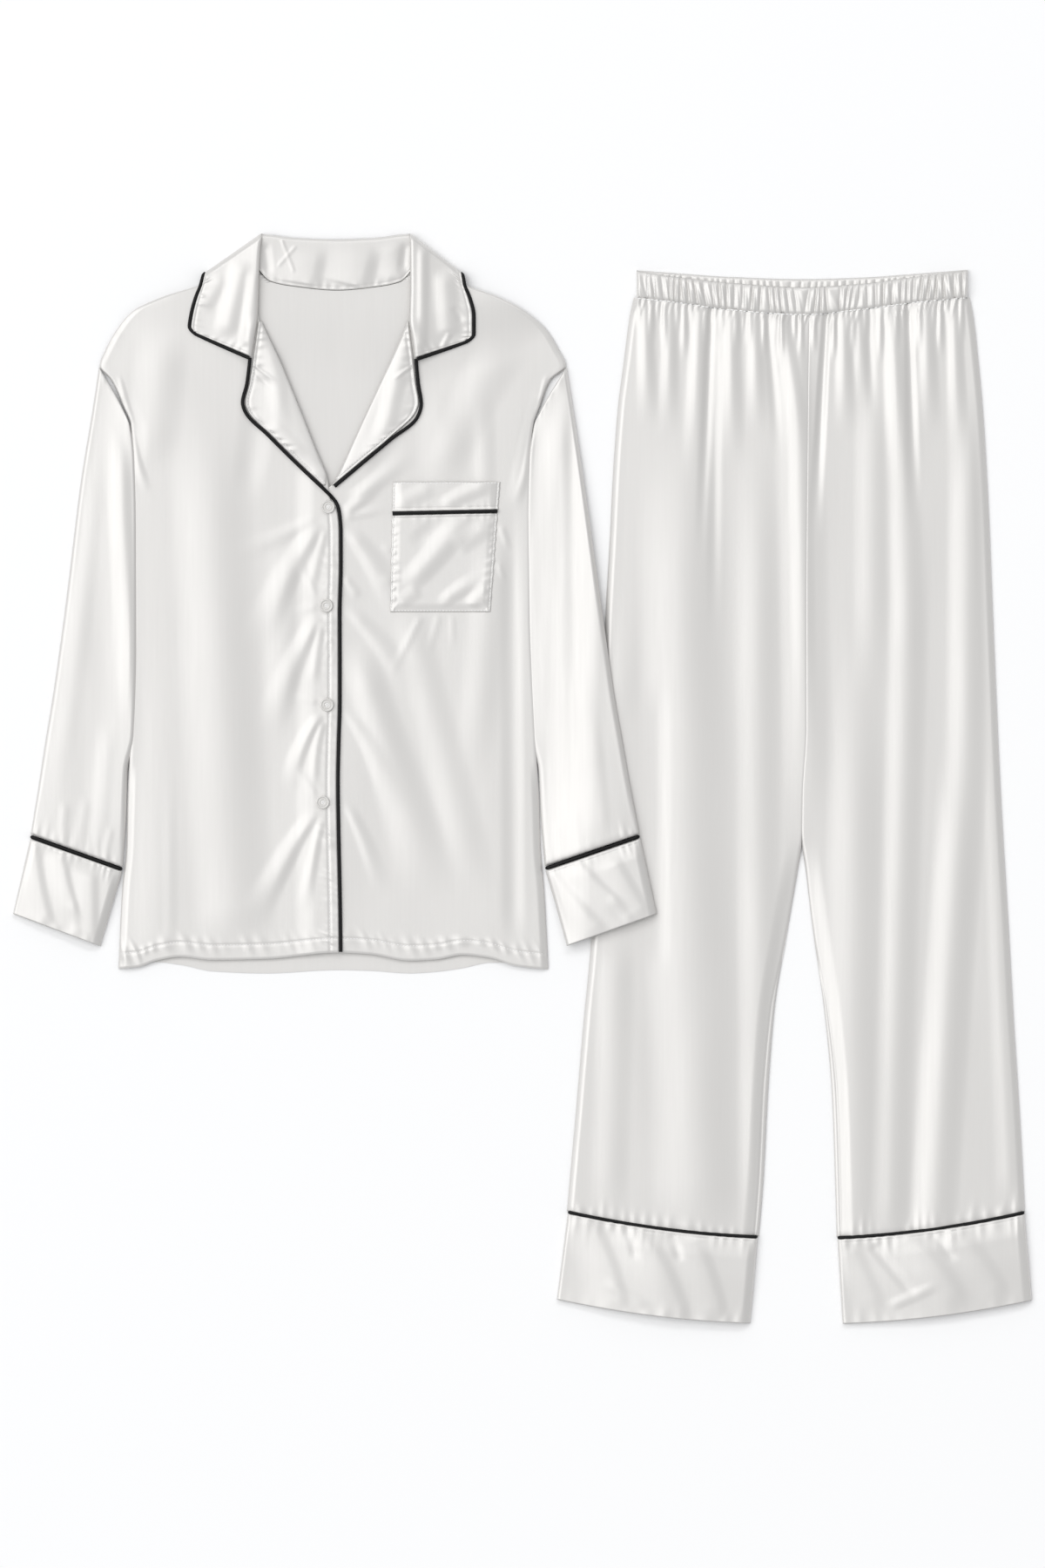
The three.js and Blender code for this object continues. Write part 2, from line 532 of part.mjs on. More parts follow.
const CUT_STEP = 0.4; // distance between rows that the neck cuts away
function shirtBack() {
  const us = steps(14);
  const place = (u, row) => {
    const right = beside(row, rightSide, sleeveInnerRight, TUCK.gap);
    const left = beside(row, leftSide, sleeveInnerLeft, -TUCK.gap);
    const x = mix(right, left, u);
    const scoop = Math.min(0, neckSeam(x) - row);
    const y = row + backHem(x) * (1 - ease(row / HEM_FADE)) + scoop;
    return new THREE.Vector3(x, y, backRise(x, y));
  };
  const under = us.map((u) => BACK_ROWS.map((row, j) => {
    const p = place(u, row);
    // Rows that the neck cuts away close up just below the seam.
    const cut = BACK_ROWS.filter((other, k) => k > j && other > neckSeam(p.x)).length;
    return row > neckSeam(p.x) ? new THREE.Vector3(p.x, p.y - CUT_STEP * (cut + 1), p.z) : p;
  }));
  return wall(raised(under, CLOTH), under);
}

// Lapels lie on the fronts, and bulge towards their roll line
const LAPEL_BULGE = 1.6;
const LAPEL_CREST = 0.4; // share across at which the bulge is highest
const LAPEL_REACH = 4;
const LAPEL_ROWS = LAPELS.map((row) => row.y);
function lapel(roll, outer, below) {
  const rollX = through(LAPELS, "y", roll);
  const outerX = through(LAPELS, "y", outer);
  return grid(steps(6), LAPEL_ROWS, (u, y) => {
    const x = mix(outerX(y), rollX(y), u);
    const bulge = LAPEL_BULGE * Math.cos((Math.PI * (u - LAPEL_CREST)) / 2) ** 2;
    return new THREE.Vector3(x, y, highest(below, x, y, LAPEL_REACH) + SEAM_GAP + bulge);
  });
}
const lapelRight = lapel("rightRoll", "rightOuter", [frontRightTop, frontLeftTop]);
const lapelLeft = lapel("leftRoll", "leftOuter", [frontLeftTop]);

// Collar: each section runs from the neck seam up the stand, over the fold line and down the fall.
const COLLAR_STEPS = 40;
const COLLAR_REACH = 8; // how far round a point of the collar the fronts are felt for
const collarColumn = (name) => through(COLLAR.map((row, k) => ({ k, value: row[name] })), "k", "value");
const collarAt = Object.fromEntries(Object.keys(COLLAR[0]).map((name) => [name, collarColumn(name)]));
const FALL_SHARES = [0.05, 0.3, 0.62, 1];
const STAND_SHARES = [1, 0.6, 0.12];
function collarSections() {
  const below = [frontRightTop, frontLeftTop];
  return steps(COLLAR_STEPS).map((t) => {
    const k = t * (COLLAR.length - 1);
    const at = Object.fromEntries(Object.entries(collarAt).map(([name, f]) => [name, f(k)]));
    const fold = new THREE.Vector2(at.foldX, at.foldY);
    const fall = new THREE.Vector2(at.edgeX, at.edgeY).sub(fold);
    const behind = 1 - at.ahead;
    const toSeam = at.foldY - neckSeam(at.foldX) - STAND_GAP;
    const drop = mix(ROLL, toSeam, ease((behind - 0.5) / 0.5));
    const down = new THREE.Vector2(0, -1);
    const stand = down.lerp(fall.clone().normalize(), at.ahead).normalize().multiplyScalar(drop);
    const frontLevel = (p) => highest(below, p.x, p.y, COLLAR_REACH) + SEAM_GAP + COLLAR_CLOTH / 2;
    const level = COLLAR_CLOTH / 2;
    const neckLevel = COLLAR_RAISE + COLLAR_CLOTH / 2;
    const foldLevel = frontLevel(fold.clone().addScaledVector(fall, FALL_SHARES[0]));
    const points = [];
    for (const share of STAND_SHARES) {
      const p = fold.clone().addScaledVector(stand, share);
      const z = mix(foldLevel + STAND_LIFT, neckLevel + STAND_LEAN * (1 - share), behind);
      points.push(new THREE.Vector3(p.x, p.y, z));
    }
    const crown = mix(foldLevel + ROLL_RISE, neckLevel - ROLL_DROP, behind);
    points.push(new THREE.Vector3(fold.x, fold.y, crown));
    for (const share of FALL_SHARES) {
      const p = fold.clone().addScaledVector(fall, share);
      const rise = FALL_RISE * (1 - share) ** 2;
      points.push(new THREE.Vector3(p.x, p.y, mix(frontLevel(p) + rise, level, behind)));
    }
    return points;
  });
}

// A wall of even thickness about a middle surface.
function thickened(middle, thickness) {
  const last = middle.length - 1;
  const end = middle[0].length - 1;
  const shifted = (sign) => middle.map((row, i) => row.map((p, j) => {
    const across = middle[Math.min(last, i + 1)][j].clone().sub(middle[Math.max(0, i - 1)][j]);
    const along = row[Math.min(end, j + 1)].clone().sub(row[Math.max(0, j - 1)]);
    return p.clone().addScaledVector(across.cross(along).normalize(), (sign * thickness) / 2);
  }));
  return wall(shifted(1), shifted(-1));
}

// Sleeves, cuffs and leg bands are flattened tubes.
// Shares across run over the top from the outer edge, then back below.
const TOP_SHARES = [0, 0.03, 0.14, 0.28, 0.42, 0.56, 0.7, 0.84, 0.97, 1];
const LOWER_SHARES = [0.97, 0.72, 0.5, 0.28, 0.03];
const BOW_FADE = 0.1; // share of the length by which a bowed end has become straight
function flatTube(table, rows, shape) {
  const column = Object.fromEntries(Object.keys(table[0]).map((name) => [name, through(table, "s", name)]));
  const over = TOP_SHARES.map((w) => ({ w, top: true }));
  const shares = [...over, ...LOWER_SHARES.map((w) => ({ w, top: false }))];
  const ringOf = (inset) => shares.map(({ w, top }) => rows.map((s) => {
    const width = Math.hypot(column.outerX(s) - column.innerX(s), column.outerY(s) - column.innerY(s));
    const share = mix(inset / width, 1 - inset / width, w);
    const arc = 4 * share * (1 - share);
    const x = mix(column.outerX(s), column.innerX(s), share) + shape.bow * arc * (1 - ease(s / BOW_FADE));
    const y = mix(column.outerY(s), column.innerY(s), share) - shape.sag * arc;
    const low = shape.base(x, y) + inset;
    const high = shape.base(x, y) + 2 * CLOTH + SEAM_GAP + shape.loft(s, w, x, y) - inset;
    const edge = w === 0 || w === 1;
    return new THREE.Vector3(x, y, edge ? (low + high) / 2 : top ? high : low);
  }));
  return wall(ringOf(0), ringOf(CLOTH), true);
}

// The cord that goes round a tube in the seam between two rings. In its own radii, the ends of the ring lie
// RING.end from the tube's edge, and its straight runs start RING.run from it.
const RING = { end: 0.6, run: 1.4, top: [0.12, 0.3, 0.5, 0.7, 0.88], low: [0.7, 0.3] };
function ringCord(outer, inner, base, sag) {
  const along = inner.clone().sub(outer);
  const aside = new THREE.Vector3(-along.y, along.x, 0).normalize();
  const at = (share, z) => {
    const p = outer.clone().addScaledVector(along, share);
    p.y -= sag * 4 * share * (1 - share);
    return p.setZ(z(p));
  };
  const floor = (p) => base(p.x, p.y) + PIPING_RADIUS;
  const roof = (p) => base(p.x, p.y) + 3 * PIPING_RADIUS + SEAM_GAP;
  const middle = (p) => (floor(p) + roof(p)) / 2;
  const end = (RING.end * PIPING_RADIUS) / along.length();
  const run = (RING.run * PIPING_RADIUS) / along.length();
  const top = [run, ...RING.top, 1 - run].map((share) => at(share, roof));
  const low = [1 - run, ...RING.low, run].map((share) => at(share, floor));
  return cord([at(end, middle), ...top, at(1 - end, middle), ...low], aside, true);
}

// Trousers

const bothSides = (rows) => ({ right: through(rows, "y", "right"), left: through(rows, "y", "left") });
const trouserSide = bothSides(TROUSER_SIDES);
const trouserInner = bothSides(TROUSER_INNER);
const waistSeam = through(WAIST, "x", "seam");
const LEG_FOOT = 95;
const LEG_HEAD = 966;
const HEAD_RUN = 86; // length over which a leg's head takes the waist seam's curve
const FOOT_RUN = 120; // length over which its foot takes the piped seam's curve
const LEG_ROWS = [LEG_FOOT, 130, 194, 283, 369, 456, 502, 568, 679, 790, 860, 895, 920, 945, LEG_HEAD];
const BACK_LEG_ROWS = LEG_ROWS.filter((_, k) => k % 2 === 0 || k > 10);
const LEG_COLUMNS = WAVE_STEPS.length * LEG_GATHERS;

// The piped seam at the foot of a leg, as a height across it.
function footSeam(side, x) {
  const { outerX, outerY, innerX, innerY } = (side === "right" ? BAND_RIGHT : BAND_LEFT)[0];
  const share = clamp01((x - outerX) / (innerX - outerX));
  return mix(outerY, innerY, share) - BAND_SAG * 4 * share * (1 - share) + PIPING_RADIUS + 2 * SEAM_GAP;
}

function legPlace(side, u, row) {
  const x = mix(trouserSide[side](row), trouserInner[side](row), u);
  const toHead = ease((row - LEG_HEAD + HEAD_RUN) / HEAD_RUN);
  const toFoot = 1 - ease((row - LEG_FOOT) / FOOT_RUN);
  const y = row + toHead * (waistSeam(x) - SEAM_GAP - LEG_HEAD) + toFoot * (footSeam(side, x) - LEG_FOOT);
  return new THREE.Vector2(x, y);
}

// How far a leg's front lies above its lowest place. Below the crotch it comes down along the inseam too.
const LEG_EDGE_RUN = 24;
const LEG_LIFT = 0.2;
const CROTCH = { foot: 400, run: 70 };
const PRESSED = 0.75; // share of a fold's height that is lost below the cuff
function trouserLoft(side, x, row) {
  const outer = Math.abs(x - trouserSide[side](row));
  const inner = Math.abs(x - trouserInner[side](row));
  const open = 1 - ease((row - CROTCH.foot) / CROTCH.run);
  const edge = ease(outer / LEG_EDGE_RUN) * mix(1, ease(inner / LEG_EDGE_RUN), open);
  return LEG_LIFT + edge * (BODY_LOFT + foldsAt(TROUSER_FOLDS, x, row) * (1 - PRESSED * underCuff(x, row)));
}

// The wearer's left cuff lies here on the right leg, so the folds are pressed flat.
const CUFF_REST = { side: -140, sideRun: 16, foot: 330, footRun: 40, head: 560, headRun: 60 };
function underCuff(x, row) {
  const across = 1 - ease((x - CUFF_REST.side) / CUFF_REST.sideRun);
  const above = ease((row - CUFF_REST.foot) / CUFF_REST.footRun);
  const below = 1 - ease((row - CUFF_REST.head) / CUFF_REST.headRun);
  return across * above * below;
}

function legFront(side) {
  return grid(steps(LEG_COLUMNS), LEG_ROWS, (u, row) => {
    const p = legPlace(side, u, row);
    const column = Math.round(u * LEG_COLUMNS);
    const fade = ease((row - (LEG_HEAD - LEG_GATHER_FADE)) / LEG_GATHER_FADE);
    const gather = column === 0 || column === LEG_COLUMNS ? 0 : WAVE_STEPS[column % WAVE_STEPS.length];
    const loft = trouserLoft(side, p.x, row) + LEG_GATHER_HEIGHT * gather * fade;
    return new THREE.Vector3(p.x, p.y, PANEL_LEVEL + loft);
  });
}

function legBack(side) {
  return grid(steps(6), BACK_LEG_ROWS, (u, row) => {
    const p = legPlace(side, u, row);
    const short = row === LEG_HEAD ? 4 * SEAM_GAP : 0;
    return new THREE.Vector3(p.x, p.y - short, 0);
  });
}

// Waistband: a gathered tube that runs across the waist, its front edge lower than its back edge.
const BAND_END = 0.02; // share across over which the tube opens at its ends
const TOP_WAVE = 0.5; // share of a gather's height that is left at the top edge
function waistband() {
  const left = WAIST[WAIST.length - 1].x;
  const right = WAIST[0].x;
  const top = { front: through(WAIST, "x", "front"), back: through(WAIST, "x", "back") };
  const roof = 2 * ELASTIC_CLOTH + 4 * SEAM_GAP;
  const column = (front, outside, share, high) => [0, 0.5, 1].map((v) => {
    const inset = outside ? 0 : ELASTIC_CLOTH;
    const x = mix(right + inset, left - inset, share);
    const y = mix(waistSeam(x), front ? top.front(x) : top.back(x), v);
    const wave = BAND_WAVE_HEIGHT * high * mix(1, TOP_WAVE, v);
    const frontZ = roof + wave - (outside ? 0 : ELASTIC_CLOTH);
    const backZ = outside ? 0 : ELASTIC_CLOTH;
    const open = ease(Math.min(share, 1 - share) / BAND_END);
    return new THREE.Vector3(x, y, mix(roof / 2, front ? frontZ : backZ, open));
  });
  const ring = (outside) => {
    const across = steps(2 * BAND_WAVES).map((share, k) => column(true, outside, share, k % 2));
    const back = steps(BAND_WAVES).slice(1, -1).map((share, k) => column(false, outside, share, k % 2));
    return [...across, ...back.reverse()];
  };
  return wall(ring(true), ring(false), true);
}

// Buttons: dished discs, turned on a lathe
function buttonGeometry() {
  const { radius, thickness, chamfer, foot, rim, dish } = BUTTON;
  const profile = [
    new THREE.Vector2(0, 0),
    new THREE.Vector2(radius - chamfer, 0),
    new THREE.Vector2(radius, foot),
    new THREE.Vector2(radius - chamfer / 3, thickness),
    new THREE.Vector2(radius - rim, thickness),
    new THREE.Vector2(radius - 1.5 * rim, thickness - dish),
    new THREE.Vector2(0, thickness - dish),
  ];
  return new THREE.LatheGeometry(profile, 16).rotateX(Math.PI / 2);
}

// Assembly

// How far round a point of each piece the cloth below it is felt for
const EDGE_REACH = 1.9;
const PIPING_REACH = 3;
const POCKET_REACH = 5;
const up = new THREE.Vector3(0, 0, 1);
const flatPath = (rows, below, reach) =>
  rows.map(({ x, y }) => new THREE.Vector3(x, y, highest(below, x, y, reach) + SEAM_GAP + PIPING_RADIUS));
// More points on a cord's route, so that it keeps close to what it lies on.
const LONGEST = 30;
function refined(rows) {
  const out = [rows[0]];
  for (let k = 1; k < rows.length; k += 1) {
    const [a, b] = [rows[k - 1], rows[k]];
    const parts = Math.max(1, Math.ceil(Math.hypot(b.x - a.x, b.y - a.y) / LONGEST));
    for (let n = 1; n <= parts; n += 1) {
      out.push({ x: mix(a.x, b.x, n / parts), y: mix(a.y, b.y, n / parts) });
    }
  }
  return out;
}

function shirt() {
  const group = new THREE.Group();
  group.position.set(SHIRT_PLACE.x, SHIRT_PLACE.y, 0);
  const add = (name, geometry, colour = COLOURS.satin) => group.add(node(name, geometry, colour));
  const fronts = [frontRightTop, frontLeftTop];

  add("shirt_back", shirtBack());
  add("shirt_front_right", wall(frontRightTop, frontRight));
  add("shirt_front_left", wall(frontLeftTop, frontLeft));
  add("lapel_right", wall(raised(lapelRight, CLOTH), lapelRight));
  add("lapel_left", wall(raised(lapelLeft, CLOTH), lapelLeft));

  const sections = collarSections();
  add("collar", thickened(sections, COLLAR_CLOTH));
  add("piping_collar", collarPiping(sections), COLOURS.piping);
  add("piping_front", cord(flatPath(refined(RIGHT_EDGE), fronts, EDGE_REACH), up), COLOURS.piping);
  add("piping_lapel_left", cord(flatPath(LEFT_EDGE, fronts, EDGE_REACH), up), COLOURS.piping);

  const { left, right, leanLeft, leanRight, foot, seam, top, rise } = POCKET;
  const upward = (y) => (y - foot) / (top - foot) - 0.5;
  const tilt = (y) => rise * Math.min((y - foot) / (seam - foot), (top - y) / (top - seam));
  const pocketX = (u, y) => mix(left, right, u) + mix(leanLeft, leanRight, u) * upward(y);
  const pocketY = (u, y) => y + u * tilt(y);
  const patch = (rows) => grid(steps(6), rows, (u, row) => {
    const x = pocketX(u, row);
    const y = pocketY(u, row);
    return new THREE.Vector3(x, y, highest([frontLeftTop], x, y, POCKET_REACH) + SEAM_GAP);
  });
  const pouch = patch([foot, 362, 386, 409, seam - PIPING_RADIUS - SEAM_GAP]);
  const strip = patch([seam + PIPING_RADIUS + SEAM_GAP, 448, top]);
  add("pocket", wall(raised(pouch, CLOTH), pouch));
  add("pocket_band", wall(raised(strip, 2 * CLOTH), strip));
  const seamLine = steps(6).map((u) => ({ x: pocketX(u, seam), y: pocketY(u, seam) }));
  add("piping_pocket", cord(flatPath(seamLine, [frontLeftTop], PIPING_REACH), up), COLOURS.piping);

  BUTTONS.forEach(({ x, y }, k) => {
    const level = highest([frontRightTop], x, y, POCKET_REACH) + SEAM_GAP;
    const geometry = buttonGeometry().translate(x, y, level);
    add(`button_${k + 1}`, geometry, COLOURS.button);
  });
  addSleeve(add, "right", SLEEVE_RIGHT, CUFF_RIGHT, () => 0);
  addSleeve(add, "left", SLEEVE_LEFT, CUFF_LEFT, onTrousers);
  return group;
}

const SHARP_TURN = 0.85; // cosine of half the angle at which the cord doubles back
const TIP_CLEARANCE = 2.2; // how much further out it lies there
const LONGEST_MITRE = 2.6; // in cord distances
const FALL_GAP = PIPING_RADIUS + SEAM_GAP + 0.1;

// Piping round the collar: along one end, beside the fall's outer edge, and back along the other end.
function collarPiping(sections) {
  const last = sections.length - 1;
  const hem = sections[0].length - 1;
  const start = hem - FALL_SHARES.length + 1;
  const run = [];
  const step = (point, inner) => run.push({ point, away: point.clone().sub(inner).setZ(0) });
  for (let j = start; j < hem; j += 1) step(sections[0][j], sections[1][j]);
  for (const row of sections) step(row[hem], row[hem - 1]);
  for (let j = hem - 1; j >= start; j -= 1) step(sections[last][j], sections[last - 1][j]);
  // The outward normal of each stretch between two points of the run.
  const normals = run.slice(1).map(({ point, away }, k) => {
    const along = point.clone().sub(run[k].point);
    const normal = new THREE.Vector3(-along.y, along.x, 0).normalize();
    const outward = k < FALL_SHARES.length - 1 ? run[k].away : away;
    return normal.dot(outward) < 0 ? normal.negate() : normal;
  });
  const path = run.map(({ point }, k) => {
    const [a, b] = [normals[Math.max(0, k - 1)], normals[Math.min(normals.length - 1, k)]];
    const between = a.clone().add(b).normalize();
    const turn = between.dot(a);
    const tip = turn < SHARP_TURN ? TIP_CLEARANCE : 0;
    const out = FALL_GAP * Math.min(1 / turn, LONGEST_MITRE) + tip;
    const p = point.clone().addScaledVector(between, out);
    return p.setZ(Math.max(point.z + PIPING_RADIUS - COLLAR_CLOTH / 2, PIPING_RADIUS + SEAM_GAP / 2));
  });
  return cord(path, up);
}

// What the wearer's left sleeve and cuff rest on: the trousers' right leg, with a ramp up to its side seam.
const RAMP = { before: 34, run: 16 };
const REST_GAP = 0.8; // room that the slack cloth leaves
function onTrousers(x, y) {
  const [tx, ty] = [x + SHIRT_PLACE.x - TROUSERS_PLACE.x, y + SHIRT_PLACE.y - TROUSERS_PLACE.y];
  const side = trouserSide.right(ty);
  const ramp = ease((tx - side + RAMP.before) / RAMP.run);
  return ramp * (PANEL_LEVEL + CLOTH + SEAM_GAP + REST_GAP + trouserLoft("right", Math.max(tx, side), ty));
}

const HEAD_BOW = 0.7; // how far the sleeve's head bows into the armhole
const SLEEVE_HUMP = 2.2;
const SLEEVE_RIDGE = { height: 2.4, at: 0.42, width: 0.16 }; // a lengthwise fold, by share across
const SLEEVE_FOOT = { from: 0.8, crown: 0.6 }; // where a sleeve begins to take its piped seam's shape
const CUFF_SHAPE = { crown: 1.2, fall: 2.2 };
const SLEEVE_ROWS = [0, 0.1, 0.25, 0.4, 0.55, 0.7, 0.78, 0.9, 1];
const CUFF_ROWS = [0, 0.35, 0.7, 1];

function addSleeve(add, side, sleeve, cuff, base) {
  const end = sleeve[sleeve.length - 1];
  const head = cuff[0];
  const armLoft = (s, w) => {
    const arc = Math.sin(Math.PI * w);
    const ridge = Math.exp(-(((w - SLEEVE_RIDGE.at) / SLEEVE_RIDGE.width) ** 2)) * Math.sin(Math.PI * s);
    const foot = ease((s - SLEEVE_FOOT.from) / (1 - SLEEVE_FOOT.from));
    return mix(SLEEVE_HUMP * arc + SLEEVE_RIDGE.height * ridge, PIPED_LOFT + SLEEVE_FOOT.crown * arc, foot);
  };
  const { crown: cuffCrown, fall } = CUFF_SHAPE;
  const cuffLoft = (s, w) => PIPED_LOFT + cuffCrown * Math.sin(Math.PI * w) - fall * ease(s);
  const bow = side === "right" ? HEAD_BOW : -HEAD_BOW;
  add(`sleeve_${side}`, flatTube(sleeve, SLEEVE_ROWS, { base, bow, sag: 0, loft: armLoft }));
  add(`cuff_${side}`, flatTube(cuff, CUFF_ROWS, { base, bow: 0, sag: 0, loft: cuffLoft }));
  const middle = (a, b) => new THREE.Vector3((a.x + b.x) / 2, (a.y + b.y) / 2, 0);
  const outer = middle({ x: end.outerX, y: end.outerY }, { x: head.outerX, y: head.outerY });
  const inner = middle({ x: end.innerX, y: end.innerY }, { x: head.innerX, y: head.innerY });
  add(`piping_cuff_${side}`, ringCord(outer, inner, base, 0), COLOURS.piping);
}

// Each leg's band lies a little below the piped seam, and its front swells between its edges.
const LEG_BAND = { shift: 2, crown: 1.4, fall: 2 };
const LEG_BAND_ROWS = [0, 0.33, 0.66, 1];

function trousers() {
  const group = new THREE.Group();
  group.position.set(TROUSERS_PLACE.x, TROUSERS_PLACE.y, 0);
  const add = (name, geometry, colour = COLOURS.satin) => group.add(node(name, geometry, colour));
  add("waistband", waistband());
  for (const side of ["right", "left"]) {
    const front = legFront(side);
    const back = legBack(side);
    const band = side === "right" ? BAND_RIGHT : BAND_LEFT;
    add(`trouser_front_${side}`, wall(raised(front, CLOTH), front));
    add(`trouser_back_${side}`, wall(raised(back, CLOTH), back));
    const below = band.map((row) => ({
      ...row,
      outerY: row.outerY - LEG_BAND.shift,
      innerY: row.innerY - LEG_BAND.shift * (1 - row.s),
    }));
    const floor = () => 0;
    const swell = (w) => LEG_BAND.crown * Math.sin(Math.PI * w) ** 2;
    const loft = (s, w) => PIPED_LOFT + swell(w) - LEG_BAND.fall * ease(s);
    add(`leg_band_${side}`, flatTube(below, LEG_BAND_ROWS, { base: floor, bow: 0, sag: BAND_SAG, loft }));
    const lift = PIPING_RADIUS + SEAM_GAP - LEG_BAND.shift;
    const outer = new THREE.Vector3(band[0].outerX, band[0].outerY + lift, 0);
    const inner = new THREE.Vector3(band[0].innerX, band[0].innerY + lift, 0);
    add(`piping_leg_${side}`, ringCord(outer, inner, floor, BAND_SAG), COLOURS.piping);
  }
  return group;
}

const pyjamas = new THREE.Group();
pyjamas.add(shirt(), trousers());

export default pyjamas;
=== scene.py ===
"""White satin pyjama set with black piping, laid out flat: a shirt beside its trousers, seen from above.

Every length is in millimetres in the garment's own frame, as in the CAD part, until a mesh is written in metres.
Heights are worked out once for each garment and everything that lies on a panel is made from that panel's height.
"""

import logging
import math
from dataclasses import dataclass
from enum import Enum
from typing import Callable, Sequence

import bmesh
import bpy
import numpy as np
from mathutils import Matrix, Vector
from mathutils.bvhtree import BVHTree


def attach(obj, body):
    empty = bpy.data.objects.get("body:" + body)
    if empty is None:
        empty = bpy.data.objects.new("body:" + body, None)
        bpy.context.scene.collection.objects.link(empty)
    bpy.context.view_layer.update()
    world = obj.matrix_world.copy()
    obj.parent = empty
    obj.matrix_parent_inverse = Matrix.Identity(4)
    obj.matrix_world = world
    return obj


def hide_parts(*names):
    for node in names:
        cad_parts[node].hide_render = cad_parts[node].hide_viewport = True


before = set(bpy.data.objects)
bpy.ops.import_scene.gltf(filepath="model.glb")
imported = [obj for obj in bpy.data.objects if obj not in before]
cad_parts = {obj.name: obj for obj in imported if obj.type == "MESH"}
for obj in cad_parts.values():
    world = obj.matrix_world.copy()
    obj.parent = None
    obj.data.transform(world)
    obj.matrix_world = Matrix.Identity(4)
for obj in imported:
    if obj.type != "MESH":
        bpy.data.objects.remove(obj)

logging.basicConfig(level=logging.INFO, format="%(message)s")
log = logging.getLogger("pyjamas")

MM = 0.001
ROOT = "root"
Array = np.ndarray
Surface = Callable[[Array, Array], Array]  # heights or points for two coordinates


# Numbers


def ease(t: Array) -> Array:
    """Smooth step from 0 to 1 while t goes from 0 to 1."""
    c = np.clip(t, 0.0, 1.0)
    return c * c * (3.0 - 2.0 * c)


def mix(a: Array, b: Array, t: Array) -> Array:
    """Blends a, at t = 0, into b, at t = 1."""
    return a + (b - a) * t


def dense(t: Array, strength: float) -> Array:
    """Moves even shares t towards both ends of 0..1; at a strength of 0.8 they are five times denser there."""
    return t - strength * np.sin(2 * np.pi * t) / (2 * np.pi)


def rolled(distance: Array, radius: float) -> Array:
    """Rise of a soft rolled edge: 0 at the edge, 1 beyond the radius, a quarter circle between."""
    t = np.clip(distance / radius, 0.0, 1.0)
    return np.sqrt(np.clip(1.0 - (1.0 - t) ** 2, 0.0, 1.0))


def seam_roll(distance: Array, high: float = 0.4) -> Array:
    """Narrow roll of cloth beside a piped seam, with the shallow groove that the seam draws behind it."""
    return high * (np.exp(-(((distance - 1.1) / 0.7) ** 2)) - 0.8 * np.exp(-(((distance - 2.9) / 0.9) ** 2)))


def rises(x: Array, start: float, over: float) -> Array:
    """Smooth step from 0 at the place start to 1 at start + over."""
    return ease((x - start) / over)


def falls(x: Array, start: float, over: float) -> Array:
    """Smooth step from 1 at the place start to 0 at start + over."""
    return 1 - rises(x, start, over)


def sunk(distance: Array, radius: float) -> Array:
    """The opposite of rolled: 1 at the edge, 0 beyond the radius."""
    return 1 - rolled(distance, radius)


def ridge(distance: Array, wide: float) -> Array:
    """A narrow bell-shaped ridge, 1 high at its crest and 0.37 at the distance wide."""
    return np.exp(-((distance / wide) ** 2))


def above(z: Array, low: float, soft: float = 0.5) -> Array:
    """Keeps heights z above a level without a crease; soft is how gently they come to rest on it."""
    return low + soft * np.logaddexp(0.0, (z - low) / soft)


class Curve:
    """A smooth function through points, which never overshoots them."""

    def __init__(self, at: Sequence[float], value: Sequence[float]) -> None:
        """Works out the slopes.

        Args:
            at: positions of the points.
            value: the function's values there.
        """
        order = np.argsort(at)
        self.at = np.asarray(at, float)[order]
        self.value = np.asarray(value, float)[order]
        slope = np.diff(self.value) / np.diff(self.at)
        before = np.concatenate([slope[:1], slope])
        after = np.concatenate([slope, slope[-1:]])
        product = before * after
        total = np.where(np.abs(before + after) < 1e-12, 1.0, before + after)
        self.slope = np.where(product <= 0, 0.0, 2 * product / total)

    def __call__(self, x: Array) -> Array:
        """Evaluates the function.

        Args:
            x: positions.
        Returns:
            the values there, held beyond the ends.
        """
        x = np.clip(np.asarray(x, float), self.at[0], self.at[-1])
        k = np.clip(np.searchsorted(self.at, x) - 1, 0, len(self.at) - 2)
        run = self.at[k + 1] - self.at[k]
        t = (x - self.at[k]) / run
        rise = run * t * (1 - t) * (self.slope[k] * (1 - t) - self.slope[k + 1] * t)
        return mix(self.value[k], self.value[k + 1], t * t * (3 - 2 * t)) + rise


class Table:
    """Rows of numbers under named columns."""

    def __init__(self, columns: str, rows: Sequence[Sequence[float]]) -> None:
        """Keeps one row for each section or point, under column names parted by spaces."""
        self.names = columns.split()
        self.rows = np.array(rows, float)

    def column(self, name: str) -> Array:
        """Reads the values of a column."""
        return self.rows[:, self.names.index(name)]

    def curve(self, at: str, value: str) -> Curve:
        """Makes a function from one column, of positions, to another."""
        return Curve(self.column(at), self.column(value))

class Unevenness:
    """A smooth function of one number that wanders between -1 and 1, the same in every run."""

    COUNT = 512  # swings before it repeats

    def __init__(self, seed: int) -> None:
        """Draws the numbers that it passes through, others for each seed."""
        self.value = np.random.default_rng(seed).uniform(-1, 1, self.COUNT)

    def __call__(self, x: Array) -> Array:
        """Its values at the places x, one swing to a unit."""
        base = np.floor(x).astype(int)
        return mix(self.value[base % self.COUNT], self.value[(base + 1) % self.COUNT], ease(x - base))


# Folds and puckers


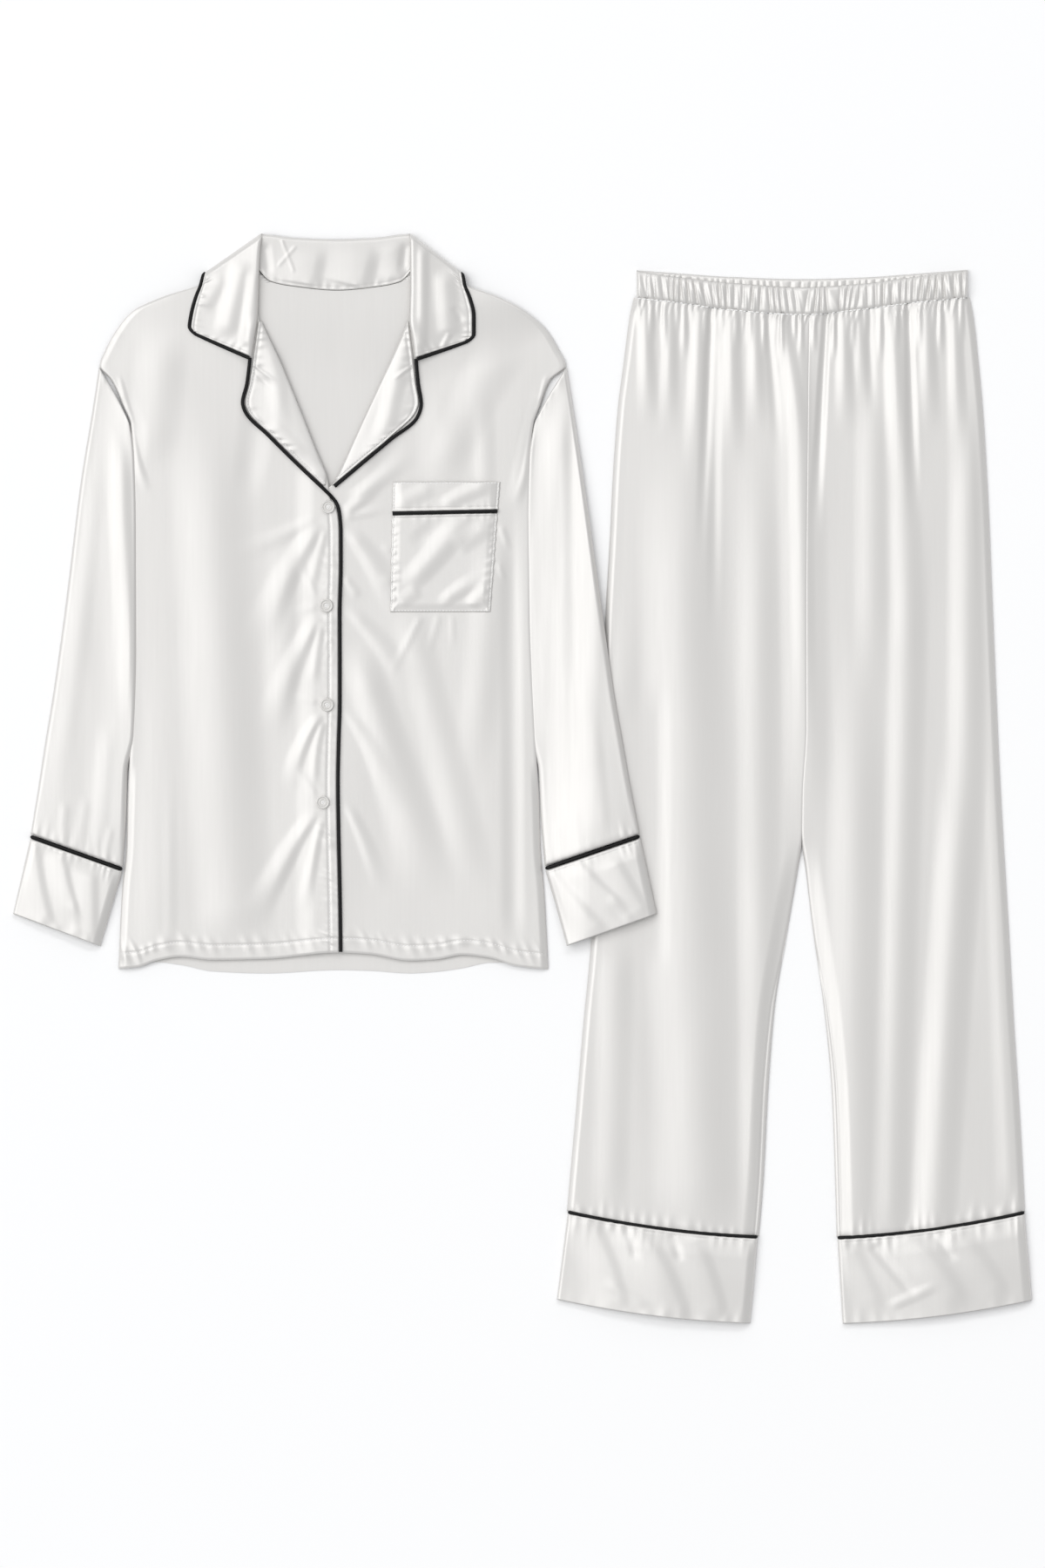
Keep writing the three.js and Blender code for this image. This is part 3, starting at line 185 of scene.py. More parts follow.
@dataclass(frozen=True)
class Fold:
    """One soft fold or crease, as a crest between two places on a panel."""

    x1: float
    y1: float
    x2: float
    y2: float
    wide: float  # half width at the far end
    high: float  # negative for a trough
    near: float = 1.0  # half width at the first end, as a share of wide
    bow: float = 0.0  # how far the crest bows to its right
    lean: float = 0.0  # -1..1, moves the crest towards its right flank
    sharp: float = 1.0  # over 1 narrows the crest, under 1 rounds it and sharpens its foot
    start: float = 0.25  # share of the length over which it rises
    stop: float = 0.3  # share over which it dies out

    def height(self, x: Array, y: Array) -> Array:
        """Height that the fold adds.

        Args:
            x: places across.
            y: places along.
        Returns:
            the heights.
        """
        dx, dy = self.x2 - self.x1, self.y2 - self.y1
        length = math.hypot(dx, dy)
        t = ((x - self.x1) * dx + (y - self.y1) * dy) / length**2
        c = np.clip(t, 0, 1)
        off = ((x - self.x1) * dy - (y - self.y1) * dx) / length - self.bow * 4 * c * (1 - c)
        wide = self.wide * mix(self.near, 1.0, c)
        side = np.where(off < 0, 1 + self.lean, 1 - self.lean)
        s = np.clip(np.abs(off) / (wide * side), 0, 1)
        profile = (0.5 * (1 + np.cos(np.pi * s))) ** self.sharp
        return self.high * profile * ease(t / self.start) * ease((1 - t) / self.stop)


def folded(folds: Sequence[Fold], x: Array, y: Array) -> Array:
    """Adds up folds.

    Args:
        folds: the folds.
        x: places across.
        y: places along.
    Returns:
        their total height.
    """
    total = np.zeros(np.broadcast(x, y).shape)
    for fold in folds:
        total = total + fold.height(x, y)
    return total


@dataclass(frozen=True)
class Pucker:
    """Small uneven dimples that a seam or a row of stitches draws up beside itself."""

    wavelength: float
    height: float
    reach: float
    seed: int
    slant: float = 0.0  # how far a dimple runs sideways for each millimetre away from the seam

    def lift(self, along: Array, away: Array) -> Array:
        """Height of the dimples.

        Args:
            along: distance along the seam.
            away: distance from it.
        Returns:
            the heights.
        """
        s = (along + self.slant * away) / self.wavelength
        wander = 0.55 * Unevenness(self.seed)(s / 2.3)
        swell = 0.5 + 0.5 * Unevenness(self.seed + 1)(s / 1.6)
        reach = self.reach * (0.75 + 0.45 * Unevenness(self.seed + 2)(s))
        crest = 0.5 + 0.5 * np.cos(2 * np.pi * (s + wander))
        return self.height * swell * crest**1.4 * ridge(away, reach)


class Drift:
    """Slow swells of cloth that lies loose, longest along the panel, the same in every run."""

    WAVES = 9

    def __init__(
        self, seed: int, height: float = 1.0, short: float = 55.0, long: float = 190.0, along: float = 0.28
    ) -> None:
        """Draws the waves.

        Args:
            seed: which of such cloths this is.
            height: how high the swells are, roughly, in millimetres for the longest.
            short: shortest wavelength across.
            long: longest.
            along: how much slower they change along the panel than across.
        """
        draw = np.random.default_rng(seed)
        self.wave = np.exp(draw.uniform(math.log(short), math.log(long), self.WAVES))
        self.turn = draw.normal(0.0, along, self.WAVES)
        self.phase = draw.uniform(0, 2 * math.pi, self.WAVES)
        self.high = height * 0.34 * (self.wave / long) ** 1.25

    def __call__(self, x: Array, y: Array) -> Array:
        """Evaluates the swells.

        Args:
            x: places across.
            y: places along.
        Returns:
            the heights.
        """
        total = np.zeros(np.broadcast(x, y).shape)
        for wave, turn, phase, high in zip(self.wave, self.turn, self.phase, self.high):
            bend = 0.12 * wave * np.sin(2 * np.pi * y / (3.1 * wave) + 2 * phase)
            total = total + high * np.sin(2 * np.pi * (x + bend + turn * y) / wave + phase)
        return total


# Meshes


@dataclass(frozen=True)
class Place:
    """Where a garment's own frame lies."""

    x: float
    y: float

    def metres(self, points: Array) -> Array:
        """Moves n by 3 points in millimetres to the shared frame, in metres."""
        return (points + np.array([self.x, self.y, 0.0])) * MM


SHIRT = Place(-178.5, -180.5)
TROUSERS = Place(265.3, -518.5)


def grid_piece(
    name: str,
    place: Place,
    columns: int,
    rows: int,
    shape: Surface,
    flat: Surface | None = None,
    joined: bool = False,
) -> bpy.types.Object:
    """Makes a cloth surface from a grid.

    Args:
        name: the piece's name.
        place: the garment's place.
        columns: faces across.
        rows: faces along.
        shape: gives n by 3 points for shares across and along.
        flat: gives n by 2 points of the cut cloth, in millimetres, for the weave.
        joined: closes the first column on to the last.
    Returns:
        the piece.
    """
    bm = bmesh.new()
    bmesh.ops.create_grid(bm, x_segments=columns, y_segments=rows, size=1.0)
    bm.verts.ensure_lookup_table()
    share = (np.array([v.co[:2] for v in bm.verts]) + 1) / 2
    points = place.metres(shape(share[:, 0], share[:, 1]))
    cut = flat(share[:, 0], share[:, 1]) * MM if flat else points[:, :2]
    layer = bm.loops.layers.uv.new("cut")
    for vert, point in zip(bm.verts, points):
        vert.co = point
    for face in bm.faces:
        for loop in face.loops:
            loop[layer].uv = cut[loop.vert.index]
    if joined:
        bmesh.ops.remove_doubles(bm, verts=bm.verts, dist=1e-6)
    bmesh.ops.recalc_face_normals(bm, faces=bm.faces)
    if not joined and sum(f.normal.z * f.calc_area() for f in bm.faces) < 0:
        bmesh.ops.reverse_faces(bm, faces=bm.faces)
    return finished(bm, name)


def finished(bm: bmesh.types.BMesh, name: str, smooth: bool = True) -> bpy.types.Object:
    """Turns a bmesh into an object of the scene.

    Args:
        bm: the mesh, which is freed.
        name: the object's name.
        smooth: shades it as one round surface.
    Returns:
        the object.
    """
    for face in bm.faces:
        face.smooth = smooth
    mesh = bpy.data.meshes.new(name)
    bm.to_mesh(mesh)
    bm.free()
    piece = bpy.data.objects.new(name, mesh)
    bpy.context.scene.collection.objects.link(piece)
    return piece


def thicken(piece: bpy.types.Object, thickness: float = 0.5) -> None:
    """Gives a cloth surface a thickness below it.

    Args:
        piece: the cloth.
        thickness: millimetres.
    """
    solid = piece.modifiers.new("cloth", "SOLIDIFY")
    solid.thickness = thickness * MM
    solid.offset = -1.0


def cord_piece(name: str, place: Place, path: Array, radius: float, closed: bool = False) -> bpy.types.Object:
    """Makes a round cord along a path.

    Args:
        name: the piece's name.
        place: the garment's place.
        path: n by 3 points of its centre line.
        radius: its radius.
        closed: joins its ends.
    Returns:
        the piece.
    """
    curve = bpy.data.curves.new(name, "CURVE")
    curve.dimensions = "3D"
    curve.bevel_depth = radius * MM
    curve.bevel_resolution = 3
    curve.use_fill_caps = True
    spline = curve.splines.new("POLY")
    spline.points.add(len(path) - 1)
    for point, p in zip(spline.points, place.metres(path)):
        point.co = (*p, 1.0)
    spline.use_cyclic_u = closed
    spline.use_smooth = True
    piece = bpy.data.objects.new(name, curve)
    bpy.context.scene.collection.objects.link(piece)
    return piece


def resampled(path: Array, spacing: float, closed: bool = False) -> Array:
    """Spreads points evenly along a smooth curve through a path.

    Args:
        path: n by 2 or 3 points.
        spacing: distance between the new points.
        closed: joins the ends.
    Returns:
        the new points.
    """
    if closed:
        path = np.vstack([path, path[:1]])
    gap = np.concatenate([[0], np.cumsum(np.linalg.norm(np.diff(path, axis=0), axis=1))])
    keep = np.concatenate([[True], np.diff(gap) > 1e-6])
    path, gap = path[keep], gap[keep]
    count = max(3, int(gap[-1] / spacing) + 1)
    at = np.linspace(0, gap[-1], count + (1 if closed else 0))[: -1 if closed else None]
    return np.stack([Curve(gap, path[:, k])(at) for k in range(path.shape[1])], axis=1)


# Finishes


def linear(hexcode: str) -> tuple[float, float, float, float]:
    """Turns an sRGB colour into a linear one.

    Args:
        hexcode: six hex digits.
    Returns:
        red, green, blue and 1.
    """
    parts = [int(hexcode[k : k + 2], 16) / 255 for k in (0, 2, 4)]
    red, green, blue = (c / 12.92 if c <= 0.04045 else ((c + 0.055) / 1.055) ** 2.4 for c in parts)
    return (red, green, blue, 1.0)


class Nodes:
    """Builds a material's node tree in short steps."""

    def __init__(self, material: bpy.types.Material) -> None:
        """Clears the tree down to its surface shader.

        Args:
            material: the material to build.
        """
        material.use_nodes = True
        self.tree = material.node_tree
        self.shader = next(n for n in self.tree.nodes if n.type == "BSDF_PRINCIPLED")

    def add(self, kind: str, links: dict | None = None, **values: object) -> bpy.types.Node:
        """Adds a node.

        Args:
            kind: the node's type name.
            links: socket name or number to the output that feeds it.
            values: properties, or sockets with spaces written as underscores.
        Returns:
            the node.
        """
        node = self.tree.nodes.new(kind)
        for key, value in values.items():
            if hasattr(node, key):
                setattr(node, key, value)
            else:
                node.inputs[key.replace("_", " ").title()].default_value = value
        for socket, source in (links or {}).items():
            self.tree.links.new(source, node.inputs[socket])
        return node

    def feed(self, socket: str, source: bpy.types.NodeSocket) -> None:
        """Links an output to one of the surface shader's sockets."""
        self.tree.links.new(source, self.shader.inputs[socket])


class Side(Enum):
    """Which face of the satin is up."""

    GLOSSY = "glossy"
    DULL = "dull"


@dataclass(frozen=True)
class Satin:
    """Woven polyester charmeuse: long warp floats make one face glossy, the other stays dull."""

    name: str
    colour: str
    shade: str  # colour of the slightly greyer threads
    side: Side
    rough: float
    pearl: float  # how mirror-like the floats are
    sheen: float = 0.08
    gloss: float = 0.5  # specular level
    ribs: float = 292.56423  # wave scale: ribs 1.5 mm apart, where real floats of 0.1 mm would not show
    relief: float = 0.035  # strength of the weave's bump

    def material(self) -> bpy.types.Material:
        """Builds the material.

        Returns:
            the material.
        """
        made = bpy.data.materials.new(self.name)
        nodes = Nodes(made)
        where = nodes.add("ShaderNodeTexCoord").outputs["Object"]
        # Slubs: long faint differences between threads, about 2.4 mm across and 70 mm long so that they show
        stretch = nodes.add("ShaderNodeMapping", {"Vector": where})
        stretch.inputs["Scale"].default_value = (420.0, 14.0, 60.0)
        stretched = {"Vector": stretch.outputs[0]}
        slub = nodes.add("ShaderNodeTexNoise", stretched, Scale=1.0, Detail=3.0, Roughness=0.6)
        tint = nodes.add("ShaderNodeMix", {0: slub.outputs["Fac"]}, data_type="RGBA")
        tint.inputs[6].default_value = linear(self.colour)
        tint.inputs[7].default_value = linear(self.shade)
        nodes.feed("Base Color", tint.outputs[2])
        # Weave: fine diagonal ribs of the floats, with a fuzz of about 4 mm
        ribs = nodes.add("ShaderNodeTexWave", {"Vector": where}, wave_type="BANDS", bands_direction="DIAGONAL")
        ribs.inputs["Scale"].default_value = self.ribs
        ribs.inputs["Distortion"].default_value = 1.5
        ribs.inputs["Detail"].default_value = 2.0
        fuzz = nodes.add("ShaderNodeTexNoise", {"Vector": where}, Scale=260.0, Detail=4.0, Roughness=0.55)
        mixed = {0: slub.outputs["Fac"], 2: ribs.outputs["Fac"], 3: fuzz.outputs["Fac"]}
        both = nodes.add("ShaderNodeMix", mixed)
        bump = nodes.add("ShaderNodeBump", {"Height": both.outputs[0]}, Strength=self.relief, Distance=0.0004)
        nodes.feed("Normal", bump.outputs[0])
        # Roughness wanders a little with the threads
        rough = nodes.add("ShaderNodeMapRange", {0: slub.outputs["Fac"]})
        rough.inputs[3].default_value = self.rough - 0.04
        rough.inputs[4].default_value = self.rough + 0.05
        nodes.feed("Roughness", rough.outputs[0])
        shader = nodes.shader
        shader.inputs["Metallic"].default_value = self.pearl
        shader.inputs["Specular IOR Level"].default_value = self.gloss if self.side is Side.GLOSSY else 0.2
        shader.inputs["Sheen Weight"].default_value = self.sheen
        shader.inputs["Sheen Roughness"].default_value = 0.5
        return made


@dataclass(frozen=True)
class Moulded:
    """Polished polyester button stock with a faint pearl cloud in it."""

    name: str
    colour: str
    cloud: str

    def material(self) -> bpy.types.Material:
        """Builds the material.

        Returns:
            the material.
        """
        made = bpy.data.materials.new(self.name)
        nodes = Nodes(made)
        where = nodes.add("ShaderNodeTexCoord").outputs["Object"]
        swirl = nodes.add("ShaderNodeTexNoise", {"Vector": where}, Scale=210.0, Detail=4.0, Distortion=1.6)
        tint = nodes.add("ShaderNodeMix", {0: swirl.outputs["Fac"]}, data_type="RGBA")
        tint.inputs[6].default_value = linear(self.colour)
        tint.inputs[7].default_value = linear(self.cloud)
        nodes.feed("Base Color", tint.outputs[2])
        bump = nodes.add("ShaderNodeBump", {"Height": swirl.outputs["Fac"]}, Strength=0.03, Distance=0.0003)
        nodes.feed("Normal", bump.outputs[0])
        rough = nodes.add("ShaderNodeMapRange", {0: swirl.outputs["Fac"]})
        rough.inputs[3].default_value = 0.16
        rough.inputs[4].default_value = 0.26
        nodes.feed("Roughness", rough.outputs[0])
        nodes.shader.inputs["Coat Weight"].default_value = 0.35
        return made


@dataclass(frozen=True)
class Paper:
    """Seamless pale studio paper under the garments."""

    name: str
    colour: str

    def material(self) -> bpy.types.Material:
        """Builds the material.

        Returns:
            the material.
        """
        made = bpy.data.materials.new(self.name)
        nodes = Nodes(made)
        where = nodes.add("ShaderNodeTexCoord").outputs["Object"]
        grain = nodes.add("ShaderNodeTexNoise", {"Vector": where}, Scale=900.0, Detail=2.0)
        bump = nodes.add("ShaderNodeBump", {"Height": grain.outputs["Fac"]}, Strength=0.02, Distance=0.0002)
        nodes.feed("Normal", bump.outputs[0])
        nodes.shader.inputs["Base Color"].default_value = linear(self.colour)
        nodes.shader.inputs["Roughness"].default_value = 0.9
        nodes.shader.inputs["Specular IOR Level"].default_value = 0.1
        return made


class Wardrobe:
    """The set's finishes."""

    def __init__(self) -> None:
        """Builds the materials."""
        self.satin = Satin("charmeuse_face", "E0DEDB", "DBD9D6", Side.GLOSSY, 0.4, 0.33).material()
        self.reverse = Satin("charmeuse_reverse", "E5E3E0", "E0DEDB", Side.DULL, 0.7, 0.0).material()
        self.piping = Satin(
            "bias_piping", "050506", "08080A", Side.GLOSSY, 0.5, 0.0, sheen=0.0, gloss=0.25
        ).material()
        # Pure white, whiter than the satin: real sewing thread, and also a painted highlight for the bright line
        # that satin shows along its seams.
        self.thread = Satin("sewing_thread_and_seam_highlight", "FFFFFF", "F6F5F3", Side.DULL, 0.55, 0.0).material()
        self.button = Moulded("button_stock", "E6E4E1", "D6D4D0").material()


class Slot(Enum):
    """The record's material slots."""

    SATIN = "satin"
    PIPING = "piping"
    BUTTON = "button"


def dress(piece: bpy.types.Object, material: bpy.types.Material, slot: Slot, *nodes: str) -> None:
    """Gives a piece its finish and its place in the model.

    Args:
        piece: the piece.
        material: its finish.
        slot: the record's slot; not used.
        nodes: the CAD nodes that it stands for.
    """
    piece.data.materials.append(material)
    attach(piece, ROOT)
    if nodes:
        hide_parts(*nodes)
    log.info("%s stands for %s", piece.name, ", ".join(nodes) or "nothing")


# Shared sizes of the solids

CLOTH = 1.2  # one layer with its turnings
GAP = 0.3  # between pieces that meet
PANEL_LEVEL = CLOTH + GAP  # where a front lies on its back
PIPING_RADIUS = 1.7
CORD_STEP = 2.5  # distance between the points of a cord
COLLAR_RAISE = 2 * PIPING_RADIUS + 3 * GAP  # how far the neck is lifted by the collar behind it
BODY_LOFT = 2.2  # air inside the garments
SHIRT_TOP = 668.0  # where the fronts end at the shoulder
FALL_BOW = 0.00135  # how the collar's lower edge bows down towards its ends behind the back
TACKS = (-146.6, -140.0)  # the two rows that hold the elastic, across

SHIRT_SIDES = Table(
    "y right left",
    [
        (-6, -205.2, 203.2), (75, -201.3, 198.9), (113, -197.6, 195.6), (163, -196.0, 194.0),
        (199, -194.2, 191.9), (240, -193.0, 190.0), (340, -190.4, 186.1), (484, -191.7, 185.6),
        (514, -193.0, 188.3), (537, -201.8, 196.4), (559, -212.4, 205.8), (572, -222.8, 219.8),
        (588, -217.0, 212.7), (606, -206.8, 201.5), (624, -191.2, 180.5), (637, -164.0, 156.0),
        (649, -126.0, 123.0), (668, -77.5, 79.5),
    ],
)
SHIRT_HEM = Table(
    "x front back",
    [
        (-205, 0.2, 2.0), (-187, 1.7, 5.0), (-169, 7.9, 6.5), (-146, 11.6, 4.0), (-116, 8.6, -2.0),
        (-65, 9.6, -4.0), (3, 15.6, -0.8), (34, 14.0, -1.5), (72, 7.9, -4.0), (97, 9.1, -2.5), (122, 13.4, 1.0),
        (148, 10.4, 6.0), (173, 2.8, 5.5), (203, -0.5, 1.5),
    ],
)
RIGHT_EDGE = Table(
    "x y",
    [
        (-79.8, 579.6), (-82.9, 555.0), (-87.0, 537.0), (-84.6, 528.8), (-62.0, 505.5), (-38.2, 481.8),
        (-21.2, 465.6), (-9.1, 454.3), (-2.4, 447.6), (2.7, 440.6), (5.0, 431.4), (6.2, 416.0), (6.3, 385.0),
        (5.2, 335.5), (5.3, 295.0), (5.3, 253.0), (4.2, 215.0), (3.5, 177.0), (4.0, 135.0), (5.0, 90.0),
        (5.8, 44.2), (6.1, 16.2),
    ],
)
LEFT_EDGE = Table(
    "x y",
    [(77.4, 578.6), (79.6, 555.3), (82.4, 535.5), (78.5, 523.0), (54.0, 502.5), (26.0, 479.2), (0.2, 457.6)],
)
LAPELS = Table(
    "y right_roll right_outer left_roll left_outer",
    [
        (459.0, -8.0, -11.5, -2.4, -0.8), (466.0, -7.2, -19.0, 1.8, 7.8), (482.0, -13.4, -35.8, 9.8, 26.8),
        (505.0, -22.4, -58.8, 20.2, 54.2), (529.0, -31.8, -82.2, 31.2, 78.0), (537.0, -35.0, -84.8, 34.9, 80.2),
        (556.0, -42.8, -80.8, 43.8, 77.4), (577.0, -51.6, -77.6, 53.6, 75.2), (598.0, -61.6, -74.6, 63.0, 72.6),
        (614.0, -69.0, -72.4, 69.4, 70.8),
    ],
)
NECK_EDGES = Table(
    "y right left",
    [
        (420, 3.9, -19.0), (436, 1.8, -19.0), (447, -3.8, -17.0), (463, -6.2, 1.6), (505, -22.8, 20.6),
        (563, -46.0, 47.0), (614, -70.6, 70.8), (640, -75.6, 75.0), (668, -76.4, 78.2),
    ],
)
NECK_SEAM = Table(
    "x y",
    [(-76.6, 668), (-60, 651.6), (-40, 647.3), (3, 643.3), (40, 646.6), (62, 651.2), (78.4, 668)],
)
COLLAR = Table(
    "fold_x fold_y edge_x edge_y ahead",
    [
        (-78.9, 580.4, -133.4, 604.2, 1), (-76.0, 599.0, -135.6, 609.0, 1), (-73.0, 620.8, -133.6, 622.0, 1),
        (-72.0, 650.0, -129.6, 637.0, 1), (-70.5, 682.0, -125.4, 648.5, 1), (-69.4, 691.0, -124.0, 654.0, 1),
        (-69.0, 697.2, -121.6, 660.6, 0.5), (-65.5, 696.8, -117.0, 659.6, 0.06),
        (-61.0, 695.6, -107.0, 648.0, 0), (-37.0, 693.6, -66.0, 638.5, 0), (1.5, 692.0, 1.0, 632.0, 0),
        (39.0, 693.6, 66.0, 638.5, 0), (63.0, 695.6, 106.0, 648.0, 0), (67.6, 696.8, 114.8, 659.6, 0.06),
        (71.7, 697.2, 119.4, 660.6, 0.5), (72.2, 691.0, 121.4, 654.0, 1), (72.4, 682.0, 122.4, 648.5, 1),
        (72.4, 650.0, 127.0, 636.0, 1), (71.7, 617.0, 130.6, 619.0, 1), (74.2, 598.0, 130.6, 602.0, 1),
        (76.6, 579.4, 127.6, 596.8, 1),
    ],
)
TUBE_EDGES = "s outer_x outer_y inner_x inner_y"
SLEEVES = {
    "right": Table(
        TUBE_EDGES,
        [
            (0.0, -223.5, 570.6, -193.5, 515.2), (0.1, -229.6, 530.0, -188.5, 484.0),
            (0.25, -240.2, 465.0, -186.5, 420.0), (0.5, -254.6, 349.0, -186.0, 310.0),
            (0.7, -267.6, 256.0, -188.5, 221.0), (0.78, -273.8, 219.0, -195.6, 188.0),
            (0.9, -281.6, 168.0, -197.8, 137.0), (1.0, -288.2, 127.8, -200.8, 96.6),
        ],
    ),
    "left": Table(
        TUBE_EDGES,
        [
            (0.0, 220.6, 570.6, 188.8, 515.2), (0.1, 227.0, 530.0, 183.5, 484.0),
            (0.25, 236.6, 465.0, 181.0, 420.0), (0.5, 252.8, 349.0, 182.5, 310.0),
            (0.7, 266.2, 256.0, 186.0, 221.0), (0.78, 272.2, 222.0, 193.4, 188.0),
            (0.9, 281.6, 168.0, 196.2, 138.0), (1.0, 289.2, 128.4, 199.6, 97.6),
        ],
    ),
}
CUFFS = {
    "right": Table(
        TUBE_EDGES,
        [(0.0, -288.6, 123.6, -201.2, 92.4), (0.5, -296.8, 88.0, -211.7, 56.6), (1.0, -305.0, 52.1, -222.1, 21.2)],
    ),
    "left": Table(
        TUBE_EDGES,
        [(0.0, 290.2, 123.8, 200.4, 93.0), (0.5, 298.0, 88.0, 210.6, 57.5), (1.0, 305.8, 52.1, 220.6, 21.6)],
    ),
}
BUTTONS = Table("x y", [(-5.8, 438.2), (-7.6, 344.6), (-6.9, 250.5), (-10.9, 158.1)])

TROUSER_SIDES = Table(
    "y right left",
    [
        (84, -224.0, 212.0), (104, -222.4, 210.8), (194, -215.4, 206.6), (283, -207.9, 201.0),
        (369, -200.0, 196.2), (517, -192.6, 187.6), (665, -187.0, 181.2), (751, -182.3, 177.8),
        (806, -179.6, 175.2), (872, -174.7, 171.0), (916, -168.6, 166.6), (952, -163.1, 161.8),
        (975, -157.2, 156.6),
    ],
)
TROUSER_INNER = Table(
    "y right left",
    [
        (86, -41.9, 33.1), (150, -36.4, 31.1), (224, -32.3, 28.0), (300, -26.4, 20.9), (371, -14.7, 10.8),
        (431, -4.4, 3.4), (456, -0.6, 0.4), (502, 0.3, 0.7), (568, 3.9, 4.3), (679, 3.9, 4.3), (850, 5.3, 5.7),
        (975, 6.7, 7.1),
    ],
)
WAIST = Table(
    "x seam front back",
    [
        (-157, 974.3, 1000.2, 1000.9), (-123, 970.8, 994.8, 998.4), (-69, 963.4, 988.8, 994.7),
        (0, 958.8, 984.6, 992.6), (55, 963.6, 987.8, 994.0), (110, 970.6, 995.0, 997.8),
        (157, 974.8, 1000.6, 1001.4),
    ],
)
BANDS = {
    "right": Table(
        TUBE_EDGES,
        [(0.0, -222.4, 107.6, -42.2, 84.0), (0.5, -227.6, 66.0, -45.6, 43.0), (1.0, -232.8, 24.2, -49.3, 1.6)],
    ),
    "left": Table(
        TUBE_EDGES,
        [(0.0, 211.0, 107.2, 33.4, 83.2), (0.5, 214.6, 65.0, 35.8, 42.0), (1.0, 218.2, 23.6, 38.4, 1.2)],
    ),
}
BAND_SAG = 4.2  # how far the middle of a leg's foot hangs below its ends


# Shirt


